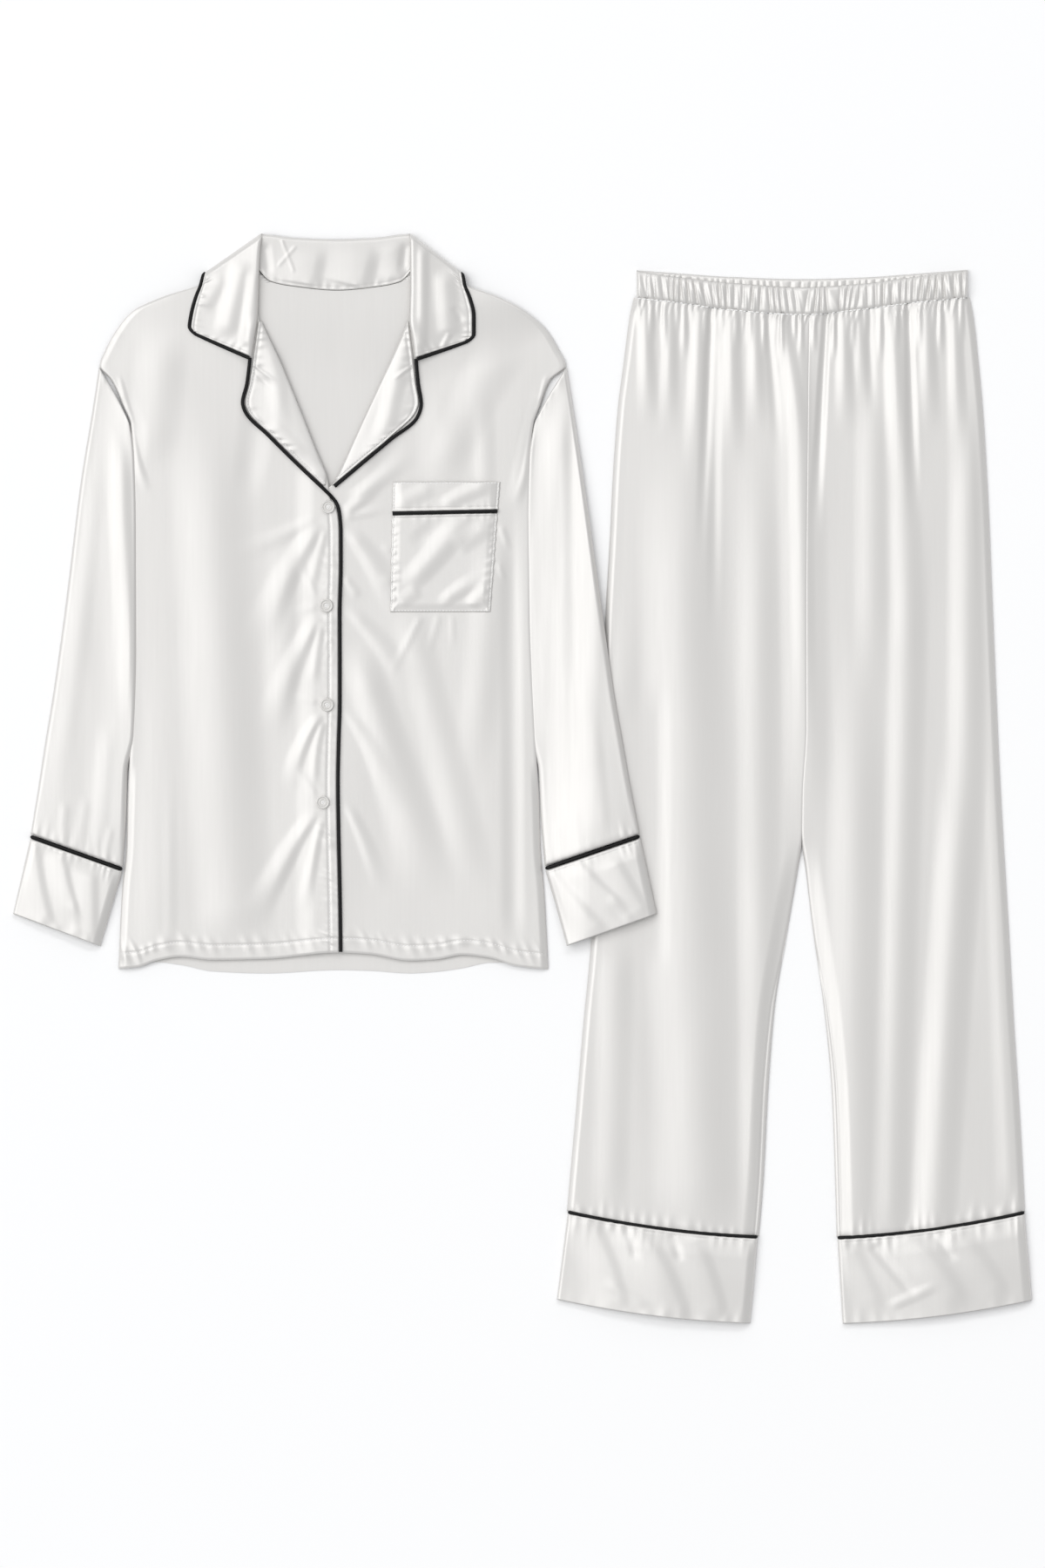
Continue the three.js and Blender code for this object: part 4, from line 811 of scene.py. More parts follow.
class ShirtForm:
    """Heights of the shirt's two fronts, which everything on them is made from."""

    SLEEVE_TOP = 200.0  # above this the sleeve is tucked under the side
    HEM_FADE = 110.0  # how far up the hem's rise and fall reaches
    HEM_LINE = 14.4  # the hem's stitches
    STITCH_IN = 10.0  # the front stitches, in from the lap's edge
    BROAD_DEPTH = 0.74  # shares of the heights below that suit the light
    DRAWN_DEPTH = 0.46

    # Broad folds that the cloth lies in
    BROAD = (
        # right front
        Fold(-92, 0, -124, 570, 42, 2.9, start=0.1, stop=0.25),
        Fold(-169, 0, -167, 380, 24, 0.5, start=0.08, stop=0.4),
        Fold(-156, 0, -156, 210, 8, 0.3, start=0.1, stop=0.5),
        Fold(-50, 220, -46, 430, 21, 1.1, start=0.3, stop=0.3),
        Fold(-176, 470, -160, 612, 28, 1.5, start=0.3, stop=0.3),
        Fold(-84, 440, -60, 620, 26, -1.0, near=0.6),
        # left front
        Fold(18, 312, 97, 62, 34, 2.6, near=0.55, start=0.2, stop=0.35),
        Fold(66, 350, 142, 50, 25, 1.3, near=0.8, start=0.15, stop=0.3),
        Fold(151, 410, 132, 170, 22, 1.2, start=0.2, stop=0.4),
        Fold(170, 10, 168, 470, 13, -1.1, start=0.12, stop=0.3),
        Fold(104, 440, 100, 560, 26, 1.2, start=0.4, stop=0.4),
        Fold(143, 440, 141, 550, 13, 0.7, start=0.3, stop=0.4),
        Fold(104, 468, 172, 606, 30, 1.3, near=0.7, bow=-6),
        Fold(170, 430, 204, 566, 14, 0.9),
        Fold(20, 470, 72, 540, 22, 1.0, near=0.5),
    )
    DRIFT = Drift(7, 0.4)
    # Drag folds that fan out from the buttons, and smaller creases
    DRAWN = (
        # right front, from each button down to the side
        Fold(-12, 426, -74, 296, 23, 3.0, near=0.42, bow=5, lean=-0.2, start=0.2, stop=0.6),
        Fold(-14, 430, -104, 392, 16, 1.2, near=0.4, bow=-3, start=0.2, stop=0.7),
        Fold(-8, 420, -24, 356, 8, 1.0, near=0.6, start=0.2),
        Fold(-13, 338, -60, 212, 21, 2.8, near=0.38, bow=6, lean=-0.2, start=0.2, stop=0.6),
        Fold(-12, 332, -21, 268, 8, 1.3, near=0.6, start=0.2),
        Fold(-16, 352, -34, 386, 7, 0.8, near=0.6),
        Fold(-15, 344, -42, 339, 7, 0.7, near=0.6, start=0.2, stop=0.6),
        Fold(-11, 243, -40, 164, 13, 2.8, near=0.5, bow=7, lean=-0.2, start=0.15, stop=0.5),
        Fold(-10, 238, -19, 172, 7, 1.4, near=0.7, bow=3, start=0.15),
        Fold(-15, 252, -42, 262, 8, 0.9, near=0.6, start=0.2, stop=0.6),
        Fold(-16, 152, -76, 32, 20, 3.0, near=0.38, bow=5, lean=-0.2, start=0.2, stop=0.5),
        Fold(-11, 146, -30, 40, 10, 1.7, near=0.5, bow=2, start=0.15, stop=0.5),
        Fold(-16, 162, -36, 190, 8, 0.9, near=0.6),
        # left front, from the lap's edge
        Fold(9, 430, 48, 464, 13, 2.1, near=0.45, lean=0.2, start=0.15, stop=0.6),
        Fold(12, 446, 78, 496, 15, 1.7, near=0.5, bow=4, start=0.2, stop=0.6),
        Fold(9, 428, 52, 437, 8, 1.2, near=0.5, start=0.15, stop=0.6),
        Fold(9, 420, 62, 330, 20, 2.6, near=0.42, bow=-5, lean=0.2, start=0.2, stop=0.6),
        Fold(9, 372, 24, 352, 7, 1.1, near=0.7, start=0.2),
        Fold(9, 344, 76, 256, 18, 2.0, near=0.42, bow=-5, lean=0.2, start=0.2, stop=0.6),
        Fold(9, 248, 58, 140, 17, 2.0, near=0.42, bow=-6, lean=0.2, start=0.2, stop=0.6),
        Fold(9, 160, 46, 60, 14, 1.6, near=0.42, bow=-4, lean=0.2, start=0.2, stop=0.6),
        # below and beside the pocket
        Fold(82, 334, 52, 276, 5, 1.2, near=0.8, start=0.05, stop=0.6),
        Fold(99, 335, 88, 296, 4.5, 0.9, near=0.8, start=0.05, stop=0.6),
        Fold(112, 335, 112, 300, 4, 0.7, near=0.8, start=0.05, stop=0.6),
        Fold(55, 396, 44, 402, 5, 0.8, start=0.1, stop=0.5),
        Fold(55, 366, 43, 372, 6, 0.9, start=0.1, stop=0.5),
        Fold(158, 420, 166, 396, 5, 1.0, start=0.1, stop=0.5),
        Fold(156, 384, 162, 366, 4, 0.8, start=0.1, stop=0.5),
        # at the armholes
        Fold(-196, 530, -176, 450, 7, 1.5, bow=3, near=0.6),
        Fold(-205, 566, -190, 508, 5, 0.9, near=0.7),
        Fold(190, 526, 172, 440, 7, 1.4, bow=-3, near=0.6),
        Fold(202, 568, 190, 505, 5, 0.9, near=0.7),
    )
    STITCH_EDGE = Pucker(9.0, 1.2, 8.0, 11, slant=0.5)
    LAP_EDGE = Pucker(9.0, 0.6, 4.0, 21)
    HEM_EDGE = Pucker(12.0, 1.3, 9.0, 31, slant=0.4)
    ARMHOLE = Pucker(13.0, 0.6, 8.0, 41)

    def __init__(self) -> None:
        """Sets up the outline's functions."""
        self.side_right = SHIRT_SIDES.curve("y", "right")
        self.side_left = SHIRT_SIDES.curve("y", "left")
        self.neck_right = NECK_EDGES.curve("y", "right")
        self.neck_left = NECK_EDGES.curve("y", "left")
        self.hem_front = SHIRT_HEM.curve("x", "front")
        self.hem_back = SHIRT_HEM.curve("x", "back")
        self.neck_seam = NECK_SEAM.curve("x", "y")
        self.lap = Curve(RIGHT_EDGE.column("y")[9:], RIGHT_EDGE.column("x")[9:])

    @staticmethod
    def back_rise(x: Array, y: Array, lead: float = 0.0) -> Array:
        """Climb over the collar's fall, which starts earlier by lead."""
        edge = 632 + FALL_BOW * x * x
        return COLLAR_RAISE * ease((y - edge + 76 + lead) / 70)

    def inner(self, side: str, row: Array) -> Array:
        """Inner edge of a front.

        Args:
            side: the wearer's right or left.
            row: places along.
        Returns:
            the edge's x.
        """
        if side == "left":
            return self.neck_left(row)
        straight = self.lap(row) - PIPING_RADIUS + 0.2
        return mix(straight, self.neck_right(row), rises(row, 430, 12))

    def height(self, x: Array, row: Array, side: str) -> Array:
        """Outer surface of a front, without its rolled edges.

        Args:
            x: places across.
            row: places along, before the hem's rise and fall.
            side: the wearer's right or left.
        Returns:
            the heights.
        """
        edge = np.minimum(x - self.side_right(row), self.side_left(row) - x)
        tucked = rises(row - self.SLEEVE_TOP, -40, 40) * falls(row, 560, 40)
        shoulder = mix(1, 0.55, rises(row, 560, 60))
        loft = BODY_LOFT * shoulder * mix(ease(edge / 7), 1, tucked)
        soft = (self.BROAD_DEPTH * folded(self.BROAD, x, row) + self.DRIFT(x, row)) * ease(edge / 16)
        own = [fold for fold in self.DRAWN if (fold.x1 < 0) == (side == "right")]
        drawn = self.DRAWN_DEPTH * folded(own, x, row) * ease(edge / 6)
        z = above(PANEL_LEVEL + 0.9 + loft + soft + drawn, PANEL_LEVEL + 0.7) + self.back_rise(x, row, 12)
        below_neck = falls(row, 425, 12)
        if side == "right":
            fly = 1.3 * rises(x, -38, 20) * falls(row, 463, 20)
            line = self.lap(row) - self.STITCH_IN
            z = z + fly + self.STITCH_EDGE.lift(row, x - line) * below_neck
            z = z + self.LAP_EDGE.lift(row, self.lap(row) - x) * below_neck
            z = z - 0.5 * ridge(x - line, 1.1) * below_neck
        z = z + self.HEM_EDGE.lift(x, row - 14)
        z = z - 0.6 * ridge(row - self.HEM_LINE, 1.1) * ease(edge / 3)
        seam = np.minimum(np.abs(x - self.side_right(row)), np.abs(self.side_left(row) - x))
        z = z + self.ARMHOLE.lift(row, seam) * rises(row, 505, 20) * falls(row, 590, 20)
        return z

    def surface(self, x: Array, y: Array, side: str | None = None) -> Array:
        """Height of whichever front is on top, at places on the finished shirt.

        Args:
            x: places across.
            y: places along.
            side: one front, or None for the top one.
        Returns:
            the heights.
        """
        row = y - self.hem_front(x) * (1 - ease(y / self.HEM_FADE))
        if side:
            return self.height(x, row, side)
        on_right = x < self.inner("right", row) + 1
        return np.where(on_right, self.height(x, row, "right"), self.height(x, row, "left"))

    def front(self, side: str) -> bpy.types.Object:
        """Builds one front.

        Args:
            side: the wearer's right or left.
        Returns:
            the piece.
        """
        outer = self.side_right if side == "right" else self.side_left

        def shape(u: Array, v: Array) -> Array:
            """Points of the front for shares across and along."""
            row = SHIRT_TOP * dense(v, 0.35)
            x = mix(outer(row), self.inner(side, row), dense(u, 0.55))
            y = row + self.hem_front(x) * (1 - ease(row / self.HEM_FADE))
            z = self.height(x, row, side)
            tucked = rises(row - self.SLEEVE_TOP, -40, 40) * falls(row, 530, 20)
            low = mix(1.5, 3.5, tucked) + self.back_rise(x, row, 12)
            z = mix(low, z, rolled(np.abs(x - outer(row)), 3.2))
            z = z - 0.9 * sunk(row, 1.6)
            z = z - 0.7 * sunk(np.abs(self.inner(side, row) - x), 1.2)
            return np.stack([x, y, z], axis=1)

        return grid_piece(f"shirt_front_{side}_cloth", SHIRT, 110, 330, shape)

    def back(self) -> bpy.types.Object:
        """Builds the back, whose dull inner face shows at the neck and whose hem shows below the fronts.

        Returns:
            the piece.
        """
        inner_right = SLEEVES["right"].curve("inner_y", "inner_x")
        inner_left = SLEEVES["left"].curve("inner_y", "inner_x")
        sag = (Fold(-60, 470, -8, 600, 30, 0.5), Fold(40, 480, 10, 610, 26, 0.4), Fold(0, 560, 8, 640, 14, -0.4))

        def shape(u: Array, v: Array) -> Array:
            """Points of the back for shares across and along."""
            row = dense(v, 0.5) * SHIRT_TOP
            right = mix(self.side_right(row), inner_right(row) + 0.9, self.tuck(row))
            left = mix(self.side_left(row), inner_left(row) - 0.9, self.tuck(row))
            x = mix(right, left, dense(u, 0.4))
            top = np.minimum(SHIRT_TOP, self.neck_seam(x))
            y = row + self.hem_back(x) * (1 - ease(row / self.HEM_FADE))
            y = np.minimum(y, top - (SHIRT_TOP - row) * 0.02)
            z = 0.75 + self.back_rise(x, y) + folded(sag, x, y)
            z = z + Pucker(12, 0.35, 6, 51).lift(x, row - 13) - 0.3 * ridge(row - 13, 1.0)
            z = z - 0.35 * sunk(row, 1.2) + 0.25 * ridge(top - y, 1.6)
            return np.stack([x, y, z], axis=1)

        return grid_piece("shirt_back_cloth", SHIRT, 90, 150, shape)

    @staticmethod
    def tuck(row: Array) -> Array:
        """Share by which the back stops short for the tucked sleeve, from the cuff up to the armhole."""
        return rises(row, 184, 14) * falls(row, 500, 14)


@dataclass
class ShirtBody:
    """The shirt's fronts and back."""

    form: ShirtForm
    finishes: Wardrobe

    def build(self) -> None:
        """Makes and dresses the panels."""
        for side in ("right", "left"):
            piece = self.form.front(side)
            dress(piece, self.finishes.satin, Slot.SATIN, f"shirt_front_{side}")
        back = self.form.back()
        dress(back, self.finishes.reverse, Slot.SATIN, "shirt_back")


@dataclass
class Lapels:
    """The turned-back upper parts of the fronts."""

    form: ShirtForm
    finishes: Wardrobe
    stitched: Pucker = Pucker(12.0, 1.0, 5.5, 61)
    folds: tuple[Fold, ...] = (
        Fold(-78, 574, -54, 556, 4, 0.9, near=0.5, start=0.1, stop=0.5),
        Fold(-76, 566, -56, 548, 5, -0.5, near=0.5, start=0.1, stop=0.5),
        Fold(-64, 600, -46, 500, 12, 0.8, stop=0.5),
        Fold(74, 572, 54, 558, 4, 0.9, near=0.5, start=0.1, stop=0.5),
        Fold(70, 600, 40, 486, 12, 1.1, stop=0.4),
        Fold(-62, 520, -26, 484, 9, 0.5),
    )

    def surface(self, x: Array, y: Array) -> Array:
        """Height of a lapel's upper face, without its edges."""
        return self.form.surface(x, y) + 1.3 + folded(self.folds, x, y)

    def build(self) -> None:
        """Makes and dresses both lapels."""
        for side in ("right", "left"):
            foot, top = LAPELS.rows[[0, -1], 0]
            roll, outer = LAPELS.curve("y", f"{side}_roll"), LAPELS.curve("y", f"{side}_outer")

            def shape(u: Array, v: Array) -> Array:
                """Points of the lapel for shares across and along."""
                y = mix(foot, top, v)
                x = mix(outer(y), roll(y), dense(u, 0.5))
                edge, fold = np.abs(x - outer(y)) * 0.75, np.abs(roll(y) - x)
                tilt = 0.035 * np.minimum(edge, 34) if side == "right" else 0.02 * np.minimum(fold, 30)
                z = self.surface(x, y) + 0.6 * np.sin(np.pi * np.clip(u, 0, 1)) ** 2 + tilt
                z = z + self.stitched.lift(y * 1.35, edge - 3.0) + seam_roll(edge)
                z = z - 0.8 * sunk(edge, 1.2) - 1.4 * sunk(fold, 2.2) + 0.5 * (rolled(fold, 9) - 1)
                return np.stack([x, y, z], axis=1)

            piece = grid_piece(f"lapel_{side}_cloth", SHIRT, 44, 130, shape)
            thicken(piece)
            dress(piece, self.finishes.satin, Slot.SATIN, f"lapel_{side}")


@dataclass
class Collar:
    """The notched collar: its stand shows inside the neck, its fall lies on the fronts and behind the back."""

    form: ShirtForm
    finishes: Wardrobe
    stitched: Pucker = Pucker(9.5, 1.1, 7.0, 71, slant=0.35)
    folds: tuple[Fold, ...] = (
        # wings
        Fold(-86, 676, -105, 596, 14, 1.7, start=0.2, stop=0.2),
        Fold(-75, 668, -84, 588, 9, 1.3, start=0.2, stop=0.1),
        Fold(-104, 660, -128, 622, 11, 0.8),
        Fold(84, 690, 83, 584, 7, 1.3, start=0.15, stop=0.1),
        Fold(104, 666, 109, 598, 14, 1.5, start=0.25, stop=0.15),
        Fold(110, 604, 102, 588, 4, 0.8, start=0.2, stop=0.1),
        Fold(112, 628, 122, 612, 5, -0.5),
    )
    stand_folds: tuple[Fold, ...] = (
        # a pressed cross of two thin creases, and soft facets round it
        Fold(-50.6, 693, -38, 660, 1.9, 0.5, start=0.1, stop=0.1),
        Fold(-36, 686, -55, 665, 1.9, 0.45, start=0.1, stop=0.2),
        Fold(-24, 646, -16, 688, 26, 1.3, lean=0.5, start=0.1, stop=0.5),
        Fold(22, 644, 34, 690, 30, 1.7, lean=0.5, start=0.1, stop=0.5),
        Fold(58, 650, 56, 692, 16, 0.9, lean=0.3, start=0.2, stop=0.3),
        Fold(-66, 690, -62, 656, 7, -0.9),
        Fold(68, 690, 64, 660, 6, -0.7),
    )
    length: float = 430.0  # from notch to notch
    lip: float = 0.12  # share of the fall's faces that is turned in under the fold
    turn: float = 2.0  # radius of the fold

    def fall(self, u: Array, v: Array) -> Array:
        """Points of the fall.

        Args:
            u: share along the collar from notch to notch.
            v: share from the turned lip under the fold line to the outer edge.
        Returns:
            n by 3 points.
        """
        k = np.arange(len(COLLAR.rows))
        at = {name: Curve(k, COLLAR.column(name))(u * (len(k) - 1)) for name in COLLAR.names}
        dx, dy = at["edge_x"] - at["fold_x"], at["edge_y"] - at["fold_y"]
        width = np.hypot(dx, dy)
        lip, half_lip, turn = self.lip, self.lip * 0.5, self.turn
        turning = np.clip((v - half_lip) / half_lip, 0, 1)
        share = 1 - (1 - np.clip((v - lip) / (1 - lip), 0, 1)) ** 1.4
        along = np.where(v < lip, turn * (1 - np.sin(np.pi * (1 - turning))), turn + share * (width - turn))
        along = np.where(v < half_lip, turn + 4.0 * (1 - v / half_lip), along)
        x = at["fold_x"] + dx / width * along
        y = at["fold_y"] + dy / width * along
        # The front is read below its shoulder edge, whose step would show through the collar as a line
        on_front = self.form.surface(x, np.minimum(y, 612 + FALL_BOW * x * x))
        lapel = 1.3 * ease((at["ahead"] - 0.5) * 2) * ease((12 - along) / 8) * falls(y, 606, 16)
        rise = 3.2 * (1 - np.clip(share, 0, 1)) ** 2.2
        edge, end, outside = (1 - share) * width, np.minimum(u, 1 - u) * self.length, share > 0
        across = self.stitched.lift(u * self.length, edge - 4.0)
        down = self.stitched.lift(share * width + 900, end - 4.0) * outside
        upper = on_front + 1.0 + lapel + rise + folded(self.folds, x, y) + across + down
        upper = upper + seam_roll(edge) + seam_roll(end) * outside
        upper = upper - 0.7 * sunk(edge, 1.3) - 0.7 * sunk(end, 1.3) * outside
        lower = on_front + 0.7
        ahead_z = np.where(v < half_lip, lower, mix(lower, upper, 0.5 * (1 - np.cos(np.pi * turning))))
        behind_z = 0.7 + 1.9 * (1 - share) ** 3
        return np.stack([x, y, mix(behind_z, ahead_z, at["ahead"])], axis=1)

    def stand(self, u: Array, v: Array) -> Array:
        """Points of the stand, from the neck seam up to the fold line.

        Args:
            u: share across.
            v: share upwards.
        Returns:
            n by 3 points.
        """
        top = Curve([-73.5, -69, -37, 1.7, 39, 70, 74.5], [695.2, 697.0, 693.6, 692.2, 693.6, 697.0, 695.4])
        x = mix(-73.2, 74.2, dense(u, 0.3))
        low, high = self.form.neck_seam(x) + 0.3, top(x)
        y = mix(low, high, dense(v, 0.4))
        z = COLLAR_RAISE + 1.3 + 0.5 * np.sin(np.pi * v) + 1.9 * rises(v, 0.35, 0.6)
        z = z + folded(self.stand_folds, x, y)
        z = z - 4.4 * sunk(high - y, 3.6) - 0.5 * sunk(y - low, 1.2)
        z = z + Pucker(9, 0.4, 5, 81).lift(x, y - low - 3) + seam_roll(y - low, 0.25)
        return np.stack([x, y, z], axis=1)

    def build(self) -> None:
        """Makes and dresses the collar."""
        fall = grid_piece("collar_cloth", SHIRT, 300, 44, self.fall)
        stand = grid_piece("collar_stand_cloth", SHIRT, 110, 34, self.stand)
        thicken(fall)
        thicken(stand)
        dress(fall, self.finishes.satin, Slot.SATIN, "collar")
        dress(stand, self.finishes.satin, Slot.SATIN)


def on_floor(x: Array, y: Array) -> Array:
    """Height of the paper, which is nothing everywhere."""
    return 0.0 * x


@dataclass
class FlatTube:
    """A tube of cloth laid flat, whose far end can be turned inside as a hem."""

    name: str
    place: Place
    table: Table  # its two edges
    length: float
    loft: Callable[[Array, Array, Array], Array]  # height of the top for share across, distance down and width
    detail: tuple[int, int]  # faces round and along
    rest: Surface = on_floor  # height of what it lies on
    turned: float = 0.0  # depth of the hem
    packing: float = 0.7  # how strongly the faces crowd towards its sides
    lip: float = 0.5  # how far the hem's fold is drawn in
    bow: float = 0.0  # how far the near end bows sideways, into the armhole
    sag: float = 0.0  # how far the middle hangs towards the far end
    ahead: float = 0.0  # how far the near end reaches past its seam
    cut_width: float | None = None  # all round, for the weave's own coordinates

    def build(self) -> bpy.types.Object:
        """Makes the tube.

        Returns:
            the piece.
        """
        curves = [self.table.curve("s", name) for name in self.table.names[1:]]
        length, total = self.length, self.length + self.turned

        def shape(u: Array, v: Array) -> Array:
            """Points of the tube for shares round and along."""
            gone = v * total
            inside = gone > length
            down = np.where(inside, 2 * length - gone, gone)
            s = down / length
            inset = np.where(inside, 0.9, 0.0) + self.lip * np.exp(-np.abs(gone - length) / 0.6) * inside
            top = u < 0.5
            across = dense(np.where(top, 2 * u, 2 - 2 * u), self.packing)
            outer_x, outer_y, inner_x, inner_y = (curve(s) for curve in curves)
            width = np.hypot(outer_x - inner_x, outer_y - inner_y)
            share = mix(inset / width, 1 - inset / width, across)
            lean = 4 * share * (1 - share)
            x = mix(outer_x, inner_x, share) + self.bow * lean * (1 - ease(s / 0.1))
            y = mix(outer_y, inner_y, share) - self.sag * lean - self.ahead * (1 - s)
            full = 2 * CLOTH + GAP + self.loft(share, down, width) - inset
            low = 0.25 + inset
            middle = mix(low, full, 0.42)
            round_off = rolled(np.minimum(share, 1 - share) * width, 3.0)
            z = np.where(top, mix(middle, full, round_off), mix(middle, low, round_off))
            return np.stack([x, y, self.rest(x, y) + z], axis=1)

        def flat(u: Array, v: Array) -> Array:
            """The cut cloth's own coordinates."""
            return np.stack([u * self.cut_width, v * total], axis=1)

        weave = flat if self.cut_width else None
        return grid_piece(self.name, self.place, *self.detail, shape, weave, joined=True)


@dataclass
class Sleeve:
    """A sleeve and its cuff, laid flat, with the piping in the seam between them."""

    side: str
    finishes: Wardrobe
    rest: Surface  # height of what it lies on
    piped_loft: float = 3.4
    length: float = 434.0
    cuff_length: float = 74.0
    turned: float = 20.0  # the cuff's hem
    all_round: float = 190.0
    cuff_folds: tuple[Fold, ...] = (
        Fold(2, -4, 40, 78, 17, 2.2, lean=0.4, bow=-4, start=0.15, stop=0.2),
        Fold(30, -2, 66, 62, 14, 2.0, lean=0.5, bow=-3, start=0.15, stop=0.3),
        Fold(62, 4, 80, 76, 16, 1.9, lean=0.4, start=0.2, stop=0.2),
        Fold(50, 40, 68, 78, 7, 0.9, start=0.3),
    )

    def folds(self) -> tuple[Fold, ...]:
        """The sleeve's folds, in millimetres in from its outer edge and down the arm.

        Returns:
            the folds.
        """
        if self.side == "right":
            return (
                Fold(37, 30, 84, 300, 17, 3.4, lean=0.1, start=0.2, stop=0.25),
                Fold(16, 60, 18, 400, 15, 0.9, start=0.3, stop=0.3),
                Fold(58, 300, 66, 428, 12, 0.9, stop=0.2),
                Fold(28, 388, 31, 434, 6, 1.0, stop=0.08),
                Fold(48, 376, 47, 434, 7, 0.8, stop=0.08),
                Fold(76, 396, 74, 434, 5, 0.8, stop=0.08),
            )
        return (
            Fold(14, 16, 66, 380, 24, 4.2, lean=-0.35, start=0.15, stop=0.4),
            Fold(56, 8, 78, 170, 10, 1.3, lean=-0.2, start=0.2, stop=0.5),
            Fold(24, 300, 34, 430, 16, 1.6, lean=-0.4, start=0.4, stop=0.2),
            Fold(58, 384, 58, 434, 6, 0.9, stop=0.08),
            Fold(76, 392, 77, 434, 5, 0.8, stop=0.08),
        )

    def build(self) -> None:
        """Makes and dresses the sleeve, the cuff and the piping."""
        right, length, tall = self.side == "right", self.length, self.cuff_length
        folds = self.folds()
        seed = 100 if right else 140
        cuff_seam = Pucker(8.0, 1.1, 14.0, seed)
        head_seam = Pucker(12.0, 0.7, 8.0, seed + 5)
        drift = Drift(seed + 1, 0.3, short=30.0, long=90.0, along=0.12)

        def arm(share: Array, down: Array, width: Array) -> Array:
            """Loft of the arm."""
            climb = 2.6 * share**1.5 if right else 2.6 * (1 - share**1.6)
            hump = 0.5 + (0.9 + climb) * ease(share * width / 4.5) * ease((1 - share) * width / 5)
            piped = self.piped_loft + 0.5 * np.sin(np.pi * share) + 0.5 * climb
            total = mix(hump, piped, rises(down / length, 0.82, 0.18))
            inside = ease(np.minimum(share, 1 - share) * width / 10)
            deep = 0.45 if right else 0.32
            total = total + (deep * folded(folds, share * width, down) + drift(share * width, down)) * inside
            total = total + cuff_seam.lift(share * width, length - down) * inside
            total = total + head_seam.lift(share * width, down) * inside
            total = total + seam_roll(length - down) * inside
            return total - 0.9 * sunk(length - down, 1.2) - 0.4 * sunk(down, 1.2) * inside

        arm_piece = FlatTube(
            f"sleeve_{self.side}_cloth", SHIRT, SLEEVES[self.side], length, arm, (96, 160), self.rest,
            bow=1.8 if right else -1.8, cut_width=self.all_round,
        ).build()
        thicken(arm_piece)
        dress(arm_piece, self.finishes.satin, Slot.SATIN, f"sleeve_{self.side}")

        seam = Pucker(7.0, 0.9, 9.0, seed + 10)
        hem = Pucker(15.0, 0.5, 9.0, seed + 15)

        def band(share: Array, down: Array, width: Array) -> Array:
            """Loft of the cuff."""
            inside = ease(np.minimum(share, 1 - share) * width / 8)
            drop = 1.8 if right else 0.3
            total = self.piped_loft + 0.8 * np.sin(np.pi * share) - drop * rises(down, 0.45 * tall, 0.55 * tall)
            across = share * width if right else (1 - share) * width
            climb = 0.042 * across * rises(down, -4, 22)
            creased = 0.5 * folded(self.cuff_folds, across, down) + climb + seam.lift(across, down)
            total = total + creased * inside
            total = total + hem.lift(share * width, tall - down) * inside
            return total + seam_roll(down) * inside - 0.9 * sunk(down, 1.2) - 0.3 * sunk(tall - down, 1.2)

        cuff = FlatTube(
            f"cuff_{self.side}_cloth", SHIRT, CUFFS[self.side], tall, band, (150, 74), self.rest,
            turned=self.turned, cut_width=self.all_round,
        ).build()
        dress(cuff, self.finishes.satin, Slot.SATIN, f"cuff_{self.side}")
        self.piping()

    def piping(self) -> None:
        """Makes the ring of piping between sleeve and cuff."""
        seam = (SLEEVES[self.side].rows[-1] + CUFFS[self.side].rows[0]) / 2
        ring = ring_path(seam[1:3], seam[3:5], self.rest)
        piece = cord_piece(f"cuff_cord_{self.side}", SHIRT, ring, PIPING_RADIUS, closed=True)
        dress(piece, self.finishes.piping, Slot.PIPING, f"piping_cuff_{self.side}")


def ring_path(outer: Array, inner: Array, rest: Surface, sag: float = 0.0) -> Array:
    """Centre line of a cord round a flattened tube.

    Args:
        outer: the outer end of the seam.
        inner: the inner end.
        rest: height of what it lies on.
        sag: how far its middle hangs.
    Returns:
        n by 3 points.
    """
    span = float(np.linalg.norm(inner - outer))
    floor, roof = PIPING_RADIUS + 0.1, 3 * PIPING_RADIUS + GAP
    bend = (roof - floor) / 2
    angle = np.linspace(-np.pi / 2, np.pi / 2, 9)
    share_in = (bend + PIPING_RADIUS - bend * np.cos(angle)) / span
    top = np.linspace(share_in[0], 1 - share_in[0], 60)[1:-1]
    share = np.concatenate([share_in, top, 1 - share_in[::-1], top[::-1]])
    middle, turn = (floor + roof) / 2, bend * np.sin(angle)
    height = np.concatenate([middle + turn, np.full(top.shape, roof), middle - turn, np.full(top.shape, floor)])
    x = mix(outer[0], inner[0], share)
    y = mix(outer[1], inner[1], share) - sag * 4 * share * (1 - share)
    return np.stack([x, y, height + rest(x, y)], axis=1)


